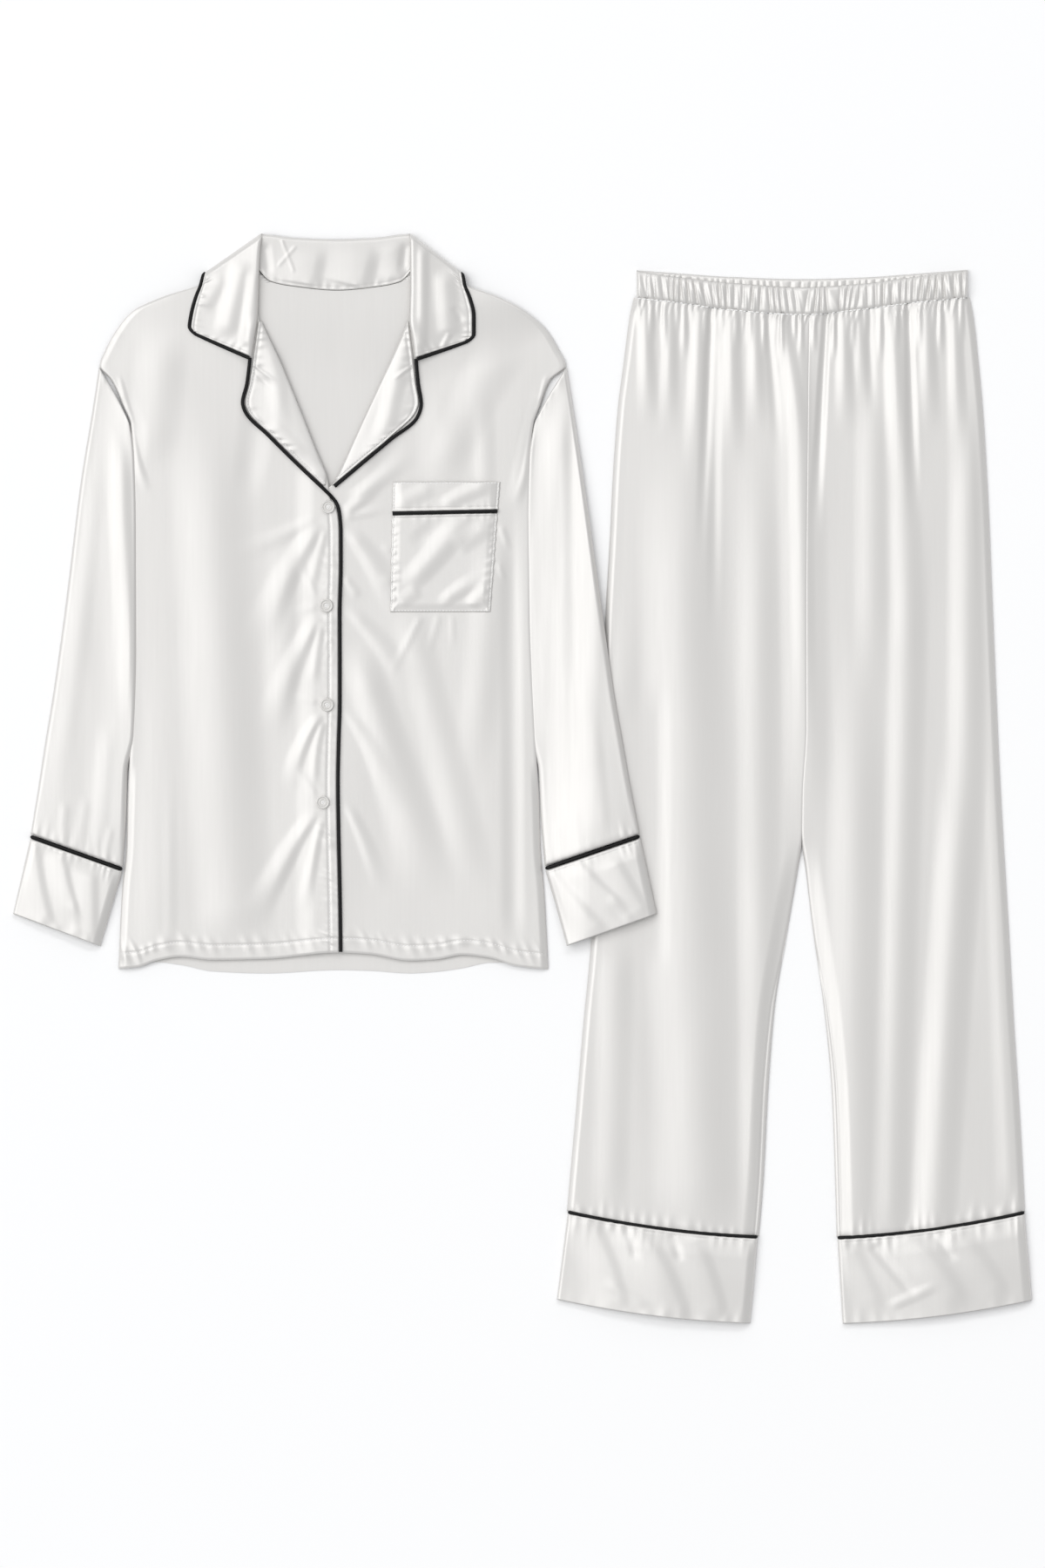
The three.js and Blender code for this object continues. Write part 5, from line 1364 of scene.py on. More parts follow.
@dataclass
class Pocket:
    """Chest pocket with a piped band turned down along its top."""

    form: ShirtForm
    finishes: Wardrobe
    left: float = 54.0
    right: float = 152.9
    lean_left: float = 2.7
    lean_right: float = 9.1
    foot: float = 338.4
    seam: float = 432.0
    top: float = 462.0
    rise: float = 2.2  # how far its side edge stands above its inner one
    thickness: float = 0.45
    folds: tuple[Fold, ...] = (
        Fold(60, 356, 132, 440, 17, 1.5, near=0.8, bow=3, start=0.3, stop=0.35),
        Fold(98, 344, 142, 372, 12, 1.0, near=0.7, bow=-2, start=0.3, stop=0.4),
        Fold(126, 342, 150, 366, 12, 0.9, near=0.8),
        Fold(72, 400, 104, 426, 12, -0.6, start=0.4, stop=0.4),
        Fold(60, 346, 82, 362, 10, 0.6),
        Fold(112, 398, 150, 424, 13, 0.8),
        Fold(98, 436, 152, 462, 12, 1.0, bow=-2, near=0.8),
        Fold(58, 440, 96, 458, 11, 0.6),
    )
    sides: Pucker = Pucker(9.0, 0.9, 4.5, 91)
    below_cord: Pucker = Pucker(11.0, 0.8, 8.0, 93)

    def x_at(self, u: Array, row: Array) -> Array:
        """Places across the pocket, for shares across and places along."""
        upward = (row - self.foot) / (self.top - self.foot) - 0.5
        return mix(self.left, self.right, u) + mix(self.lean_left, self.lean_right, u) * upward

    def y_at(self, u: Array, row: Array) -> Array:
        """Places along the pocket, which slopes up to the side."""
        tilt = np.minimum((row - self.foot) / (self.seam - self.foot), (self.top - row) / (self.top - self.seam))
        return row + self.rise * u * tilt

    def panel(self, name: str, low: float, high: float, lift: float, detail: tuple[int, int]) -> bpy.types.Object:
        """Makes the pouch or the band.

        Args:
            name: the piece's name.
            low: its foot.
            high: its top.
            lift: height above the front.
            detail: faces across and along.
        Returns:
            the piece.
        """

        def shape(u: Array, v: Array) -> Array:
            """Points of the panel for shares across and along."""
            across, row = dense(u, 0.5), mix(low, high, dense(v, 0.3))
            x, y = self.x_at(across, row), self.y_at(across, row)
            edge = np.minimum(across, 1 - across) * (self.right - self.left)
            end = np.minimum(row - low, high - row)
            inside = ease(np.minimum(edge, row - self.foot) / 9)
            z = self.form.surface(x, y, "left") + lift + (folded(self.folds, x, y) + 1.1) * inside
            from_cord = np.abs(row - self.seam)
            z = z + self.sides.lift(row * 1.1, edge - 3.0) + self.below_cord.lift(x, from_cord) * inside
            z = z - 0.35 * ridge(edge - 2.2, 0.8) + seam_roll(from_cord - PIPING_RADIUS, 0.3)
            wavy = 0.7 * (self.sides.lift(row, 0.0) - 0.3) * (1 - ease(edge / 6))
            x = x + np.where(across < 0.5, -wavy, wavy)
            z = z - 0.7 * sunk(edge, 1.1) - 0.7 * sunk(end, 1.1)
            return np.stack([x, y, z], axis=1)

        piece = grid_piece(name, SHIRT, *detail, shape)
        thicken(piece, self.thickness)
        return piece

    def build(self) -> None:
        """Makes and dresses the pouch, its band and the piping."""
        reach = PIPING_RADIUS - 0.3
        pouch = self.panel("pocket_cloth", self.foot, self.seam - reach, 1.0, (84, 84))
        dress(pouch, self.finishes.satin, Slot.SATIN, "pocket")
        band = self.panel("pocket_band_cloth", self.seam + reach, self.top, 1.6, (84, 34))
        dress(band, self.finishes.satin, Slot.SATIN, "pocket_band")
        u = np.linspace(0.005, 0.995, 60)
        x, y = self.x_at(u, self.seam), self.y_at(u, self.seam)
        z = self.form.surface(x, y, "left") + 1.0 + PIPING_RADIUS * 0.8
        cord = cord_piece("pocket_cord", SHIRT, np.stack([x, y, z], axis=1), PIPING_RADIUS)
        dress(cord, self.finishes.piping, Slot.PIPING, "piping_pocket")


@dataclass
class EdgePiping:
    """The cords beside the collar, the lapels and the front edge."""

    form: ShirtForm
    collar: Collar
    finishes: Wardrobe

    def build(self) -> None:
        """Makes and dresses the cords."""
        for name, table, node in (
            ("front_cord", RIGHT_EDGE, "piping_front"),
            ("lapel_cord", LEFT_EDGE, "piping_lapel_left"),
        ):
            path = resampled(table.rows, CORD_STEP)
            on = self.form.surface(path[:, 0], path[:, 1])
            spot = self.form.surface(path[:, 0] - 3, path[:, 1])
            z = np.maximum(on, np.where(path[:, 1] < 440, spot - 0.6, on)) + PIPING_RADIUS * 0.75
            z = z + rises(path[:, 1], 446, 12)
            cord = cord_piece(name, SHIRT, np.column_stack([path, z]), PIPING_RADIUS)
            dress(cord, self.finishes.piping, Slot.PIPING, node)
        cord = cord_piece("collar_cord", SHIRT, self.round_collar(PIPING_RADIUS + 0.2), PIPING_RADIUS)
        dress(cord, self.finishes.piping, Slot.PIPING, "piping_collar")

    def round_collar(self, out: float) -> Array:
        """Line round the collar, beside its edge.

        Args:
            out: how far outside the edge.
        Returns:
            n by 3 points.
        """
        v, u = np.linspace(self.collar.lip, 1, 16), np.linspace(0, 1, 200)
        fall = self.collar.fall
        edge = [fall(np.zeros(16), v), fall(u, np.ones(200)), fall(np.ones(16), v[::-1])]
        inward = [fall(np.full(16, 0.012), v), fall(u, np.full(200, 0.97)), fall(np.full(16, 0.988), v[::-1])]
        runs = []
        for run, within in zip(edge, inward):
            away = (run - within)[:, :2]
            away = away / np.linalg.norm(away, axis=1)[:, None]
            moved = run.copy()
            moved[:, :2] += away * out
            moved[:, 2] = np.maximum(moved[:, 2] + 0.7, PIPING_RADIUS + 0.1)
            runs.append(moved)
        path = np.vstack([runs[0][:-1], runs[1][1:-1], runs[2][1:]])
        return resampled(path, CORD_STEP)


@dataclass
class Buttons:
    """Four sewn-on buttons with a raised rim, a dished centre and four holes crossed by thread."""

    form: ShirtForm
    finishes: Wardrobe
    radius: float = 6.25
    turns: tuple[float, ...] = (12, -8, 31, 5)  # degrees, as each was sewn on
    hole_out: float = 1.35  # from the centre to each hole
    stitch_out: float = 0.62  # from the centre to each of the two threads

    def one(self, index: int, x: float, y: float) -> None:
        """Makes one button with its thread.

        Args:
            index: which button, from 1.
            x: its place across.
            y: its place along.
        """
        row = np.array([x + dx for dx in (-5, 0, 5)])
        base = float(self.form.surface(row, np.full(3, y), "right").max()) + 0.7
        r = self.radius
        # Out along the dished centre, over the rim, and back in along the underside: radius and height
        profile = [
            (0.0, 1.1), (1.0, 1.1), (1.9, 1.05), (2.5, 1.3), (2.9, 1.8), (3.2, 1.95),
            (3.5, 1.8), (3.9, 1.2), (4.3, 1.1), (4.7, 1.5), (5.1, 2.2), (5.5, 2.4),
            (5.9, 2.2), (r, 1.5), (6.1, 0.8), (5.4, 0.2), (3.5, 0.0), (0.0, 0.0),
        ]
        bm = bmesh.new()
        ring = [bm.verts.new((a * MM, 0, z * MM)) for a, z in profile]
        edges = [bm.edges.new(pair) for pair in zip(ring, ring[1:])]
        bmesh.ops.spin(
            bm, geom=ring + edges, cent=(0, 0, 0), axis=(0, 0, 1), angle=2 * math.pi, steps=48, use_merge=True
        )
        bmesh.ops.remove_doubles(bm, verts=bm.verts, dist=1e-6)
        bmesh.ops.recalc_face_normals(bm, faces=bm.faces)
        spot = Vector(SHIRT.metres(np.array([x, y, base])))
        bmesh.ops.translate(bm, verts=bm.verts, vec=spot)
        disc = finished(bm, f"button_disc_{index}")
        dress(disc, self.finishes.button, Slot.BUTTON, f"button_{index}")

        bm = bmesh.new()
        turn = math.radians(self.turns[index - 1])
        for k in range(4):
            a = turn + math.pi / 4 + k * math.pi / 2
            hole = Vector((math.cos(a), math.sin(a), 0)) * self.hole_out * MM
            sizes = {"radius1": 0.62 * MM, "radius2": 0.5 * MM, "depth": 0.25 * MM}
            made = bmesh.ops.create_cone(bm, cap_ends=True, segments=14, **sizes)
            bmesh.ops.translate(bm, verts=made["verts"], vec=hole + Vector((0, 0, 1.2 * MM)))
        for sign in (-1, 1):
            made = bmesh.ops.create_uvsphere(bm, u_segments=14, v_segments=8, radius=1.0)
            for vert in made["verts"]:
                vert.co = Vector((vert.co.x * 1.75, vert.co.y * 0.36, vert.co.z * 0.35)) * MM
            a = turn + math.pi / 4
            shift = Vector((-math.sin(a), math.cos(a), 0)) * self.stitch_out * sign * MM
            bmesh.ops.rotate(bm, verts=made["verts"], cent=(0, 0, 0), matrix=Matrix.Rotation(a, 3, "Z"))
            bmesh.ops.translate(bm, verts=made["verts"], vec=shift + Vector((0, 0, 1.45 * MM)))
        bmesh.ops.translate(bm, verts=bm.verts, vec=spot)
        thread = finished(bm, f"button_thread_{index}")
        dress(thread, self.finishes.thread, Slot.BUTTON)

    def build(self) -> None:
        """Makes and dresses the four buttons."""
        for index, (x, y) in enumerate(BUTTONS.rows, 1):
            self.one(index, float(x), float(y))


# Trousers


class TrouserForm:
    """Heights of the trousers' two leg fronts."""

    FOOT = 95.0  # the band's seam, before it follows the leg's foot
    HEAD = 966.0  # the waist seam, before it follows the waist
    BROAD_DEPTH = 0.9  # shares of the heights below that suit the light
    GATHER_DEPTH = 0.6

    BROAD = (
        # wearer's right leg, image left
        Fold(-99, 60, -116, 900, 46, 3.2, start=0.1, stop=0.25),
        Fold(-40, 60, -42, 870, 23, 1.4, start=0.15, stop=0.25),
        Fold(-184, 60, -168, 720, 20, 0.9, start=0.15, stop=0.3),
        Fold(-84, 640, -83, 960, 8, -1.0, start=0.5, stop=0.1),
        # either side of the centre seam
        Fold(9, 430, -6, 940, 26, 1.4, start=0.3, stop=0.15),
        Fold(3, 540, -4, 960, 13, 1.2, start=0.4, stop=0.1),
        # wearer's left leg
        Fold(49, 60, 53, 680, 31, 2.0, start=0.12, stop=0.35),
        Fold(66, 580, 68, 910, 20, 1.2, start=0.4, stop=0.25),
        Fold(82, 60, 104, 780, 21, 1.6, start=0.1, stop=0.2),
        Fold(98, 600, 95, 950, 19, 1.6, start=0.5, stop=0.1),
        Fold(121, 60, 157, 590, 25, 2.5, start=0.08, stop=0.3),
        Fold(155, 450, 158, 900, 21, 2.0, start=0.35, stop=0.3),
        Fold(204, 90, 188, 640, 22, 1.2, start=0.1, stop=0.3),
    )
    # Gathers below the waist seam, across: how far down each runs, its half width and its height
    GATHERS = Table(
        "x down wide high drift",
        [
            # long soft ones, which become the legs' folds
            (-150, 120, 7.0, 2.6, 4), (-125, 130, 7.0, 2.4, -2), (-97, 170, 8.0, 2.8, -6),
            (-86, 250, 4.5, -3.2, -10), (-68, 160, 8.0, 3.0, 2), (-46, 130, 7.0, 2.6, 4),
            (-35, 150, 4.5, -1.8, 14), (-20, 150, 7.5, 3.0, 18), (24, 230, 4.5, -3.8, -13),
            (39, 130, 7.0, 2.8, 2), (53, 100, 5.5, 1.8, 4), (62, 110, 4.0, -1.8, 5), (84, 180, 8.0, 3.2, 8),
            (100, 220, 5.0, -3.6, 7), (117, 130, 7.5, 2.8, 4), (143, 150, 7.0, 2.6, 6),
            # short ones
            (-155, 30, 2.4, 2.2, 0), (-143, 42, 2.8, 2.6, 0), (-137, 24, 2.2, 1.6, 0), (-131, 50, 2.6, 2.6, 0),
            (-118, 34, 2.4, 2.4, 0), (-112, 56, 3.0, 2.8, 0), (-105, 28, 2.2, 1.8, 0), (-91, 44, 2.6, 2.6, 0),
            (-76, 30, 2.4, 2.2, 0), (-62, 46, 2.6, 2.6, 0), (-56, 26, 2.2, 1.8, 0), (-50, 40, 2.4, 2.2, 0),
            (-36, 50, 2.6, 2.8, 0), (-25, 34, 2.4, 2.2, 0), (-20, 60, 2.8, 2.6, 0), (-7, 36, 2.4, 2.0, 0),
            (-1, 50, 2.6, 2.2, 0), (11, 44, 2.6, 2.4, 0), (30, 56, 2.6, 2.8, 0), (44, 30, 2.2, 2.0, 0),
            (48, 50, 2.6, 2.4, 0), (61, 34, 2.4, 2.2, 0), (74, 60, 2.8, 2.8, 0), (80, 26, 2.2, 1.8, 0),
            (90, 44, 2.4, 2.4, 0), (97, 30, 2.2, 2.0, 0), (111, 50, 2.6, 2.8, 0), (125, 34, 2.4, 2.2, 0),
            (131, 54, 2.8, 2.8, 0), (138, 28, 2.2, 1.8, 0), (151, 44, 2.6, 2.4, 0),
        ],
    )
    HEAD_EDGE = Pucker(5.4, 1.9, 10.0, 251, slant=0.25)
    DRIFT = Drift(23, 0.35, short=45.0, long=150.0, along=0.1)
    FOOT_SEAM = {"right": Pucker(11.0, 0.9, 12.0, 201), "left": Pucker(11.0, 0.9, 12.0, 211)}

    def __init__(self) -> None:
        """Sets up the outline's functions."""
        self.side = {s: TROUSER_SIDES.curve("y", s) for s in ("right", "left")}
        self.inner = {s: TROUSER_INNER.curve("y", s) for s in ("right", "left")}
        self.seam = WAIST.curve("x", "seam")
        self.small = tuple(
            Fold(
                x + drift, self.HEAD - down, x, self.HEAD + 16, wide, self.GATHER_DEPTH * high,
                near=1.9, start=0.6, stop=0.05,
            )
            for x, down, wide, high, drift in self.GATHERS.rows
        )

    def foot_seam(self, side: str, x: Array) -> Array:
        """Height along the leg of the piped seam.

        Args:
            side: the wearer's right or left.
            x: places across.
        Returns:
            y of the seam.
        """
        _, outer_x, outer_y, inner_x, inner_y = BANDS[side].rows[0]
        share = np.clip((x - outer_x) / (inner_x - outer_x), 0, 1)
        return mix(outer_y, inner_y, share) - BAND_SAG * 4 * share * (1 - share) + 1.5

    def height(self, x: Array, row: Array, side: str) -> Array:
        """Outer surface of a leg's front, without its rolled edges.

        Args:
            x: places across.
            row: places along.
            side: the wearer's right or left.
        Returns:
            the heights.
        """
        outer = np.abs(x - self.side[side](row))
        inner = np.abs(x - self.inner[side](row))
        open_leg = falls(row, 400, 70)
        edge = ease(outer / 6) * mix(1, ease(inner / 16), open_leg)
        pressed = falls(x, -140, 16) * rises(row, 330, 40) * falls(row, 560, 60)
        loose = ease(outer / 16) * edge * (1 - 0.75 * pressed)
        broad = (self.BROAD_DEPTH * folded(self.BROAD, x, row) + self.DRIFT(x, row)) * loose
        small = (folded(self.small, x, row) + self.HEAD_EDGE.lift(x, self.HEAD - row)) * ease(outer / 5)
        z = above(PANEL_LEVEL + 1.1 + BODY_LOFT * edge + broad + small, PANEL_LEVEL + 0.4)
        seam = self.FOOT_SEAM[side]
        return z + seam.lift(x, row - self.FOOT) * ease(outer / 6) * ease(inner / 6)

    def leg_point(self, side: str, x: Array, row: Array) -> Array:
        """Place along the leg after its ends follow their seams.

        Args:
            side: the wearer's right or left.
            x: places across.
            row: places along, before.
        Returns:
            y.
        """
        head = rises(row, 880, self.HEAD - 880) * (self.seam(x) + 0.5 - self.HEAD)
        foot = falls(row, self.FOOT, 120) * (self.foot_seam(side, x) - self.FOOT)
        return row + head + foot

    def front(self, side: str) -> bpy.types.Object:
        """Builds a leg's front.

        Args:
            side: the wearer's right or left.
        Returns:
            the piece.
        """

        def shape(u: Array, v: Array) -> Array:
            """Points of the front for shares across and along."""
            row = mix(self.FOOT, self.HEAD, 1 - (1 - v) ** 1.25)
            outer, inner = self.side[side](row), self.inner[side](row)
            closed = rises(row, 440, 30)
            # At the centre seam the left front is tucked under the right one
            inner = inner - (0.7 * closed if side == "left" else 0)
            x = mix(outer, inner, dense(u, 0.45))
            z = self.height(x, row, side)
            from_out, from_in = np.abs(x - outer), np.abs(x - inner)
            z = mix(1.3, z, rolled(from_out, 3.4))
            deep = mix(1.3, z - (0.2 if side == "right" else 0.5), closed)
            z = mix(deep, z, rolled(from_in, np.where(closed > 0.5, 1.6, 3.4)))
            # The inseam is turned a little to the front of each leg
            turned = np.where(row < 400, np.interp(row, [2, 106, 230, 306, 401], [6, 4, 4.5, 3, -2]), -2)
            groove = ridge(from_in - turned, 0.9) * falls(row, 370, 30)
            z = z - 0.6 * groove - 0.4 * sunk(self.HEAD - row, 1.6) - 0.5 * sunk(row - self.FOOT, 1.5)
            y = self.leg_point(side, x, row)
            return np.stack([x, y, z], axis=1)

        return grid_piece(f"trouser_front_{side}_cloth", TROUSERS, 124, 370, shape)

    def back(self, side: str) -> bpy.types.Object:
        """Builds a leg's back, which lies flat.

        Args:
            side: the wearer's right or left.
        Returns:
            the piece.
        """

        def shape(u: Array, v: Array) -> Array:
            """Points of the back for shares across and along."""
            row = mix(self.FOOT, self.HEAD, v)
            x = mix(self.side[side](row), self.inner[side](row), dense(u, 0.5))
            edge = np.minimum(np.abs(x - self.side[side](row)), np.abs(x - self.inner[side](row)))
            z = 0.25 + 0.9 * sunk(edge, 3.0) + 0.6 * folded(self.small, x, row).clip(0, 1.2)
            return np.stack([x, self.leg_point(side, x, row) - 0.6, z], axis=1)

        return grid_piece(f"trouser_back_{side}_cloth", TROUSERS, 40, 100, shape)


@dataclass
class Legs:
    """Leg fronts, backs, and the bands with piping in their seams."""

    form: TrouserForm
    finishes: Wardrobe
    piped_loft: float = 3.4
    tall: float = 84.0
    turned: float = 24.0  # the hem

    def band(self, side: str) -> bpy.types.Object:
        """Makes a leg's band as a flattened tube with a turned hem.

        Args:
            side: the wearer's right or left.
        Returns:
            the piece.
        """
        tall = self.tall
        seed = 300 if side == "right" else 340
        seam, hem = Pucker(10.0, 1.3, 14.0, seed), Pucker(17.0, 0.6, 12.0, seed + 5)
        if side == "right":
            creases = (
                Fold(14, -6, 64, 92, 22, 1.3, lean=0.45, bow=5, start=0.12, stop=0.2),
                Fold(62, -4, 122, 92, 22, 1.4, lean=0.45, bow=6, start=0.12, stop=0.2),
                Fold(116, -2, 158, 90, 20, 1.5, lean=0.4, bow=3, start=0.12, stop=0.25),
                Fold(58, 2, 70, 34, 6, -1.0, start=0.1),
                Fold(100, 2, 112, 30, 6, -1.0, start=0.1),
                Fold(40, 56, 92, 78, 9, 0.7),
            )
        else:
            creases = (
                Fold(10, 4, 38, 80, 18, 0.9, lean=0.3, start=0.15, stop=0.3),
                Fold(60, -4, 116, 84, 20, 1.4, lean=0.35, bow=6, start=0.12, stop=0.25),
                Fold(108, -2, 156, 84, 18, 1.3, lean=0.3, bow=4, start=0.12, stop=0.25),
                Fold(32, 6, 74, 66, 8, -1.1, start=0.1),
                Fold(90, 2, 112, 34, 6, -1.0, start=0.1),
                Fold(42, 70, 94, 52, 8, 0.8),
            )

        def loft(share: Array, down: Array, width: Array) -> Array:
            """Loft of the band."""
            within = ease(np.minimum(share, 1 - share) * width / 9)
            total = self.piped_loft + 0.9 * np.sin(np.pi * share) ** 2 - 1.6 * rises(down / tall, 0.4, 0.6)
            across = share * width if side == "right" else (1 - share) * width
            climb = (3.8 if side == "right" else 3.0) * rises(across, 4, 98) * rises(down, -3, 24)
            creased = 0.75 * folded(creases, across, down) + seam.lift(across, down) + seam_roll(down) + climb
            total = total + creased * within
            return total + hem.lift(share * width, tall - down) * within - 0.9 * sunk(down, 1.4)

        return FlatTube(
            f"leg_band_{side}_cloth", TROUSERS, BANDS[side], tall, loft, (200, 84),
            turned=self.turned, packing=0.6, lip=0.0, sag=BAND_SAG, ahead=1.2,
        ).build()

    def build(self) -> None:
        """Makes and dresses the legs."""
        for side in ("right", "left"):
            front = self.form.front(side)
            dress(front, self.finishes.satin, Slot.SATIN, f"trouser_front_{side}")
            back = self.form.back(side)
            dress(back, self.finishes.satin, Slot.SATIN, f"trouser_back_{side}")
            band = self.band(side)
            dress(band, self.finishes.satin, Slot.SATIN, f"leg_band_{side}")
            head = BANDS[side].rows[0]
            ring = ring_path(head[1:3], head[3:5], on_floor, BAND_SAG)
            cord = cord_piece(f"leg_cord_{side}", TROUSERS, ring, PIPING_RADIUS, closed=True)
            dress(cord, self.finishes.piping, Slot.PIPING, f"piping_leg_{side}")


@dataclass
class Waistband:
    """The elastic casing, gathered all round, its front edge lower than its back edge."""

    finishes: Wardrobe
    waves: int = 43
    deep: float = 2.7  # height of a wave
    casing: float = 2.4  # a layer of the casing with its elastic
    air: float = 1.2  # between the front and the back half
    wide: float = 314.0

    def face(self, share: Array, level: Array, front: bool, inside: Array) -> Array:
        """Points of the casing's front or back half.

        Args:
            share: share across from the wearer's right.
            level: share from the waist seam to the top edge.
            front: the front half.
            inside: 1 on the inner face.
        Returns:
            n by 3 points.
        """
        right, left = WAIST.column("x")[0], WAIST.column("x")[-1]
        x = mix(right, left, share)
        seam = WAIST.curve("x", "seam")(x)
        top = WAIST.curve("x", "front" if front else "back")(x)
        y = mix(seam, top, level)
        wander = Unevenness(401 if front else 421)
        lean = (level - 0.5) * (1.7 * wander(share * 17 + 3) - 0.3)
        phase = share * self.waves + 0.46 * wander(share * self.waves / 1.9) + 0.42 * lean
        crest = 1 - np.abs(np.sin(np.pi * phase)) ** 0.9
        split = 0.35 * (0.5 + 0.5 * np.cos(2 * np.pi * (2.13 * phase + level))) * (0.5 + 0.5 * wander(share * 31))
        swell = 0.75 + 0.35 * wander(share * 23 + 7)
        wave = self.deep * swell * (1 - crest + split) * mix(1.0, 0.75, inside)
        roof = 2 * self.casing + self.air
        plain = rises(x, -152, 16)
        tacked = sum(ridge(x - at, 1.3) for at in TACKS)
        wave = wave * mix(0.35, 1.0, plain) - 0.8 * tacked * front * (1 - inside)
        half = rolled(np.minimum(share, 1 - share) * self.wide, 3.0)
        high, low = mix(roof - 0.5, roof - 2.6, inside), mix(0.25, 2.2, inside)
        z = np.where(front, high + wave, low + 0.5 * wave * inside)
        rim = ridge(1 - level, 0.09) + 0.8 * ridge(level, 0.05)
        bulge = 1.2 * np.sin(np.pi * np.clip(level, 0, 1) ** 0.75)
        z = z + np.where(front, bulge - 0.9 * rim, 0.3 * rim) * (1 - inside)
        return np.stack([x, y, mix(roof / 2, z, half)], axis=1)

    def build(self) -> None:
        """Makes and dresses the waistband."""

        def shape(u: Array, v: Array) -> Array:
            """Points of the casing: up the outer face, over the top edge and down the inner face."""
            front = u < 0.5
            share = np.where(front, 2 * u, 2 - 2 * u)
            outer = np.clip(v / 0.55, 0, 1)
            inside = rises(v, 0.52, 0.08)
            level = np.where(v < 0.55, outer, 1 - 0.8 * (v - 0.55) / 0.45)
            near = self.face(share, level, True, inside)
            far = self.face(share, level, False, inside)
            return np.where(front[:, None], near, far)

        piece = grid_piece("waistband_cloth", TROUSERS, 900, 44, shape, joined=True)
        dress(piece, self.finishes.satin, Slot.SATIN, "waistband")


# Stitches


@dataclass
class Stitches:
    """Rows of lockstitch: short raised threads, laid on the finished cloth, in a white that is also a painted
    highlight for the bright line that satin shows beside a seam.
    """

    name: str
    place: Place
    finishes: Wardrobe
    cloth: Sequence[str]  # the pieces they lie on
    length: float = 2.0
    gap: float = 1.0
    radius: float = 0.2

    def laid(self, path: Array, trees: Sequence[BVHTree]) -> Array:
        """Drops a row on the cloth below it.

        Args:
            path: n by 2 places, local millimetres.
            trees: the cloth's surfaces.
        Returns:
            n by 3 points in metres, without those that miss the cloth.
        """
        points = []
        for x, y in path:
            above_it = Vector(self.place.metres(np.array([x, y, 60.0])))
            hits = [tree.ray_cast(above_it, Vector((0, 0, -1)))[0] for tree in trees]
            tops = [hit.z for hit in hits if hit is not None]
            if tops:
                points.append((above_it.x, above_it.y, max(tops) + 0.35 * self.radius * MM))
        return np.array(points)

    def build(self, paths: Sequence[Array]) -> None:
        """Makes and dresses the rows.

        Args:
            paths: n by 2 places of each row, local millimetres.
        """
        trees = []
        for name in self.cloth:
            cloth = bmesh.new()
            cloth.from_mesh(bpy.data.objects[name].data)
            trees.append(BVHTree.FromBMesh(cloth))
            cloth.free()
        bm = bmesh.new()
        for path in paths:
            even = self.laid(resampled(path, (self.length + self.gap) / 2), trees)
            for a, b in zip(even[0:-1:2], even[1::2]):
                along = Vector(b - a)
                if along.length > 1.5 * (self.length + self.gap) * MM:
                    continue
                made = bmesh.ops.create_uvsphere(bm, u_segments=6, v_segments=4, radius=1.0)
                turn = Vector((0, 0, 1)).rotation_difference(along).to_matrix()
                wide = self.radius * MM
                for vert in made["verts"]:
                    thread = Vector((vert.co.x * wide, vert.co.y * wide, vert.co.z * self.length / 2 * MM))
                    vert.co = turn @ thread + Vector((a + b) / 2)
        dress(finished(bm, self.name), self.finishes.thread, Slot.SATIN)


def beside(path: Array, by: float) -> Array:
    """Moves a line sideways.

    Args:
        path: n by 2 places.
        by: how far to the left of its run.
    Returns:
        the moved places.
    """
    run = np.gradient(path, axis=0)
    run = run / np.linalg.norm(run, axis=1)[:, None]
    return path + by * np.stack([-run[:, 1], run[:, 0]], axis=1)


def shirt_stitching(form: ShirtForm, pocket: Pocket, piping: EdgePiping, finishes: Wardrobe) -> None:
    """Stitches the front edge, the hems, the pocket, the collar and the lapels.

    Args:
        form: the fronts.
        pocket: the pocket.
        piping: the edge piping, which the collar's row follows.
        finishes: the finishes.
    """
    rows = np.linspace(20, 424, 160)
    paths = [np.stack([form.lap(rows) - form.STITCH_IN, rows], axis=1)]
    for low, high in ((-200.0, 2.0), (9.0, 198.0)):
        x = np.linspace(low, high, 90)
        y = form.HEM_LINE + form.hem_front(x) * (1 - ease(form.HEM_LINE / form.HEM_FADE))
        paths.append(np.stack([x, y], axis=1))
    fronts = ["shirt_front_right_cloth", "shirt_front_left_cloth"]
    Stitches("shirt_stitches", SHIRT, finishes, fronts, radius=0.36).build(paths)

    width = pocket.right - pocket.left
    paths = []
    for u in (1.6 / width, 1 - 1.6 / width):
        rows = np.linspace(pocket.foot + 2, pocket.top - 2, 60)
        rows = rows[np.abs(rows - pocket.seam) > 3]
        paths.append(np.stack([pocket.x_at(u, rows), pocket.y_at(u, rows)], axis=1))
    u = np.linspace(2.2 / width, 1 - 2.2 / width, 50)
    for row in (pocket.foot + 1.4, pocket.top - 1.2):
        paths.append(np.stack([pocket.x_at(u, row), pocket.y_at(u, row)], axis=1))
    Stitches("pocket_stitches", SHIRT, finishes, ["pocket_cloth", "pocket_band_cloth"], radius=0.42).build(paths)

    paths = [piping.round_collar(-3.2)[:, :2]]
    for table, sign in ((RIGHT_EDGE, 1), (LEFT_EDGE, -1)):
        edge = resampled(table.rows, CORD_STEP)
        if edge[0, 1] > edge[-1, 1]:
            edge = edge[::-1]
        paths.append(beside(edge[edge[:, 1] > 440], -sign * (PIPING_RADIUS + 3.2)))
    wings = ["collar_cloth", "lapel_right_cloth", "lapel_left_cloth"]
    Stitches("collar_stitches", SHIRT, finishes, wings, radius=0.36).build(paths)


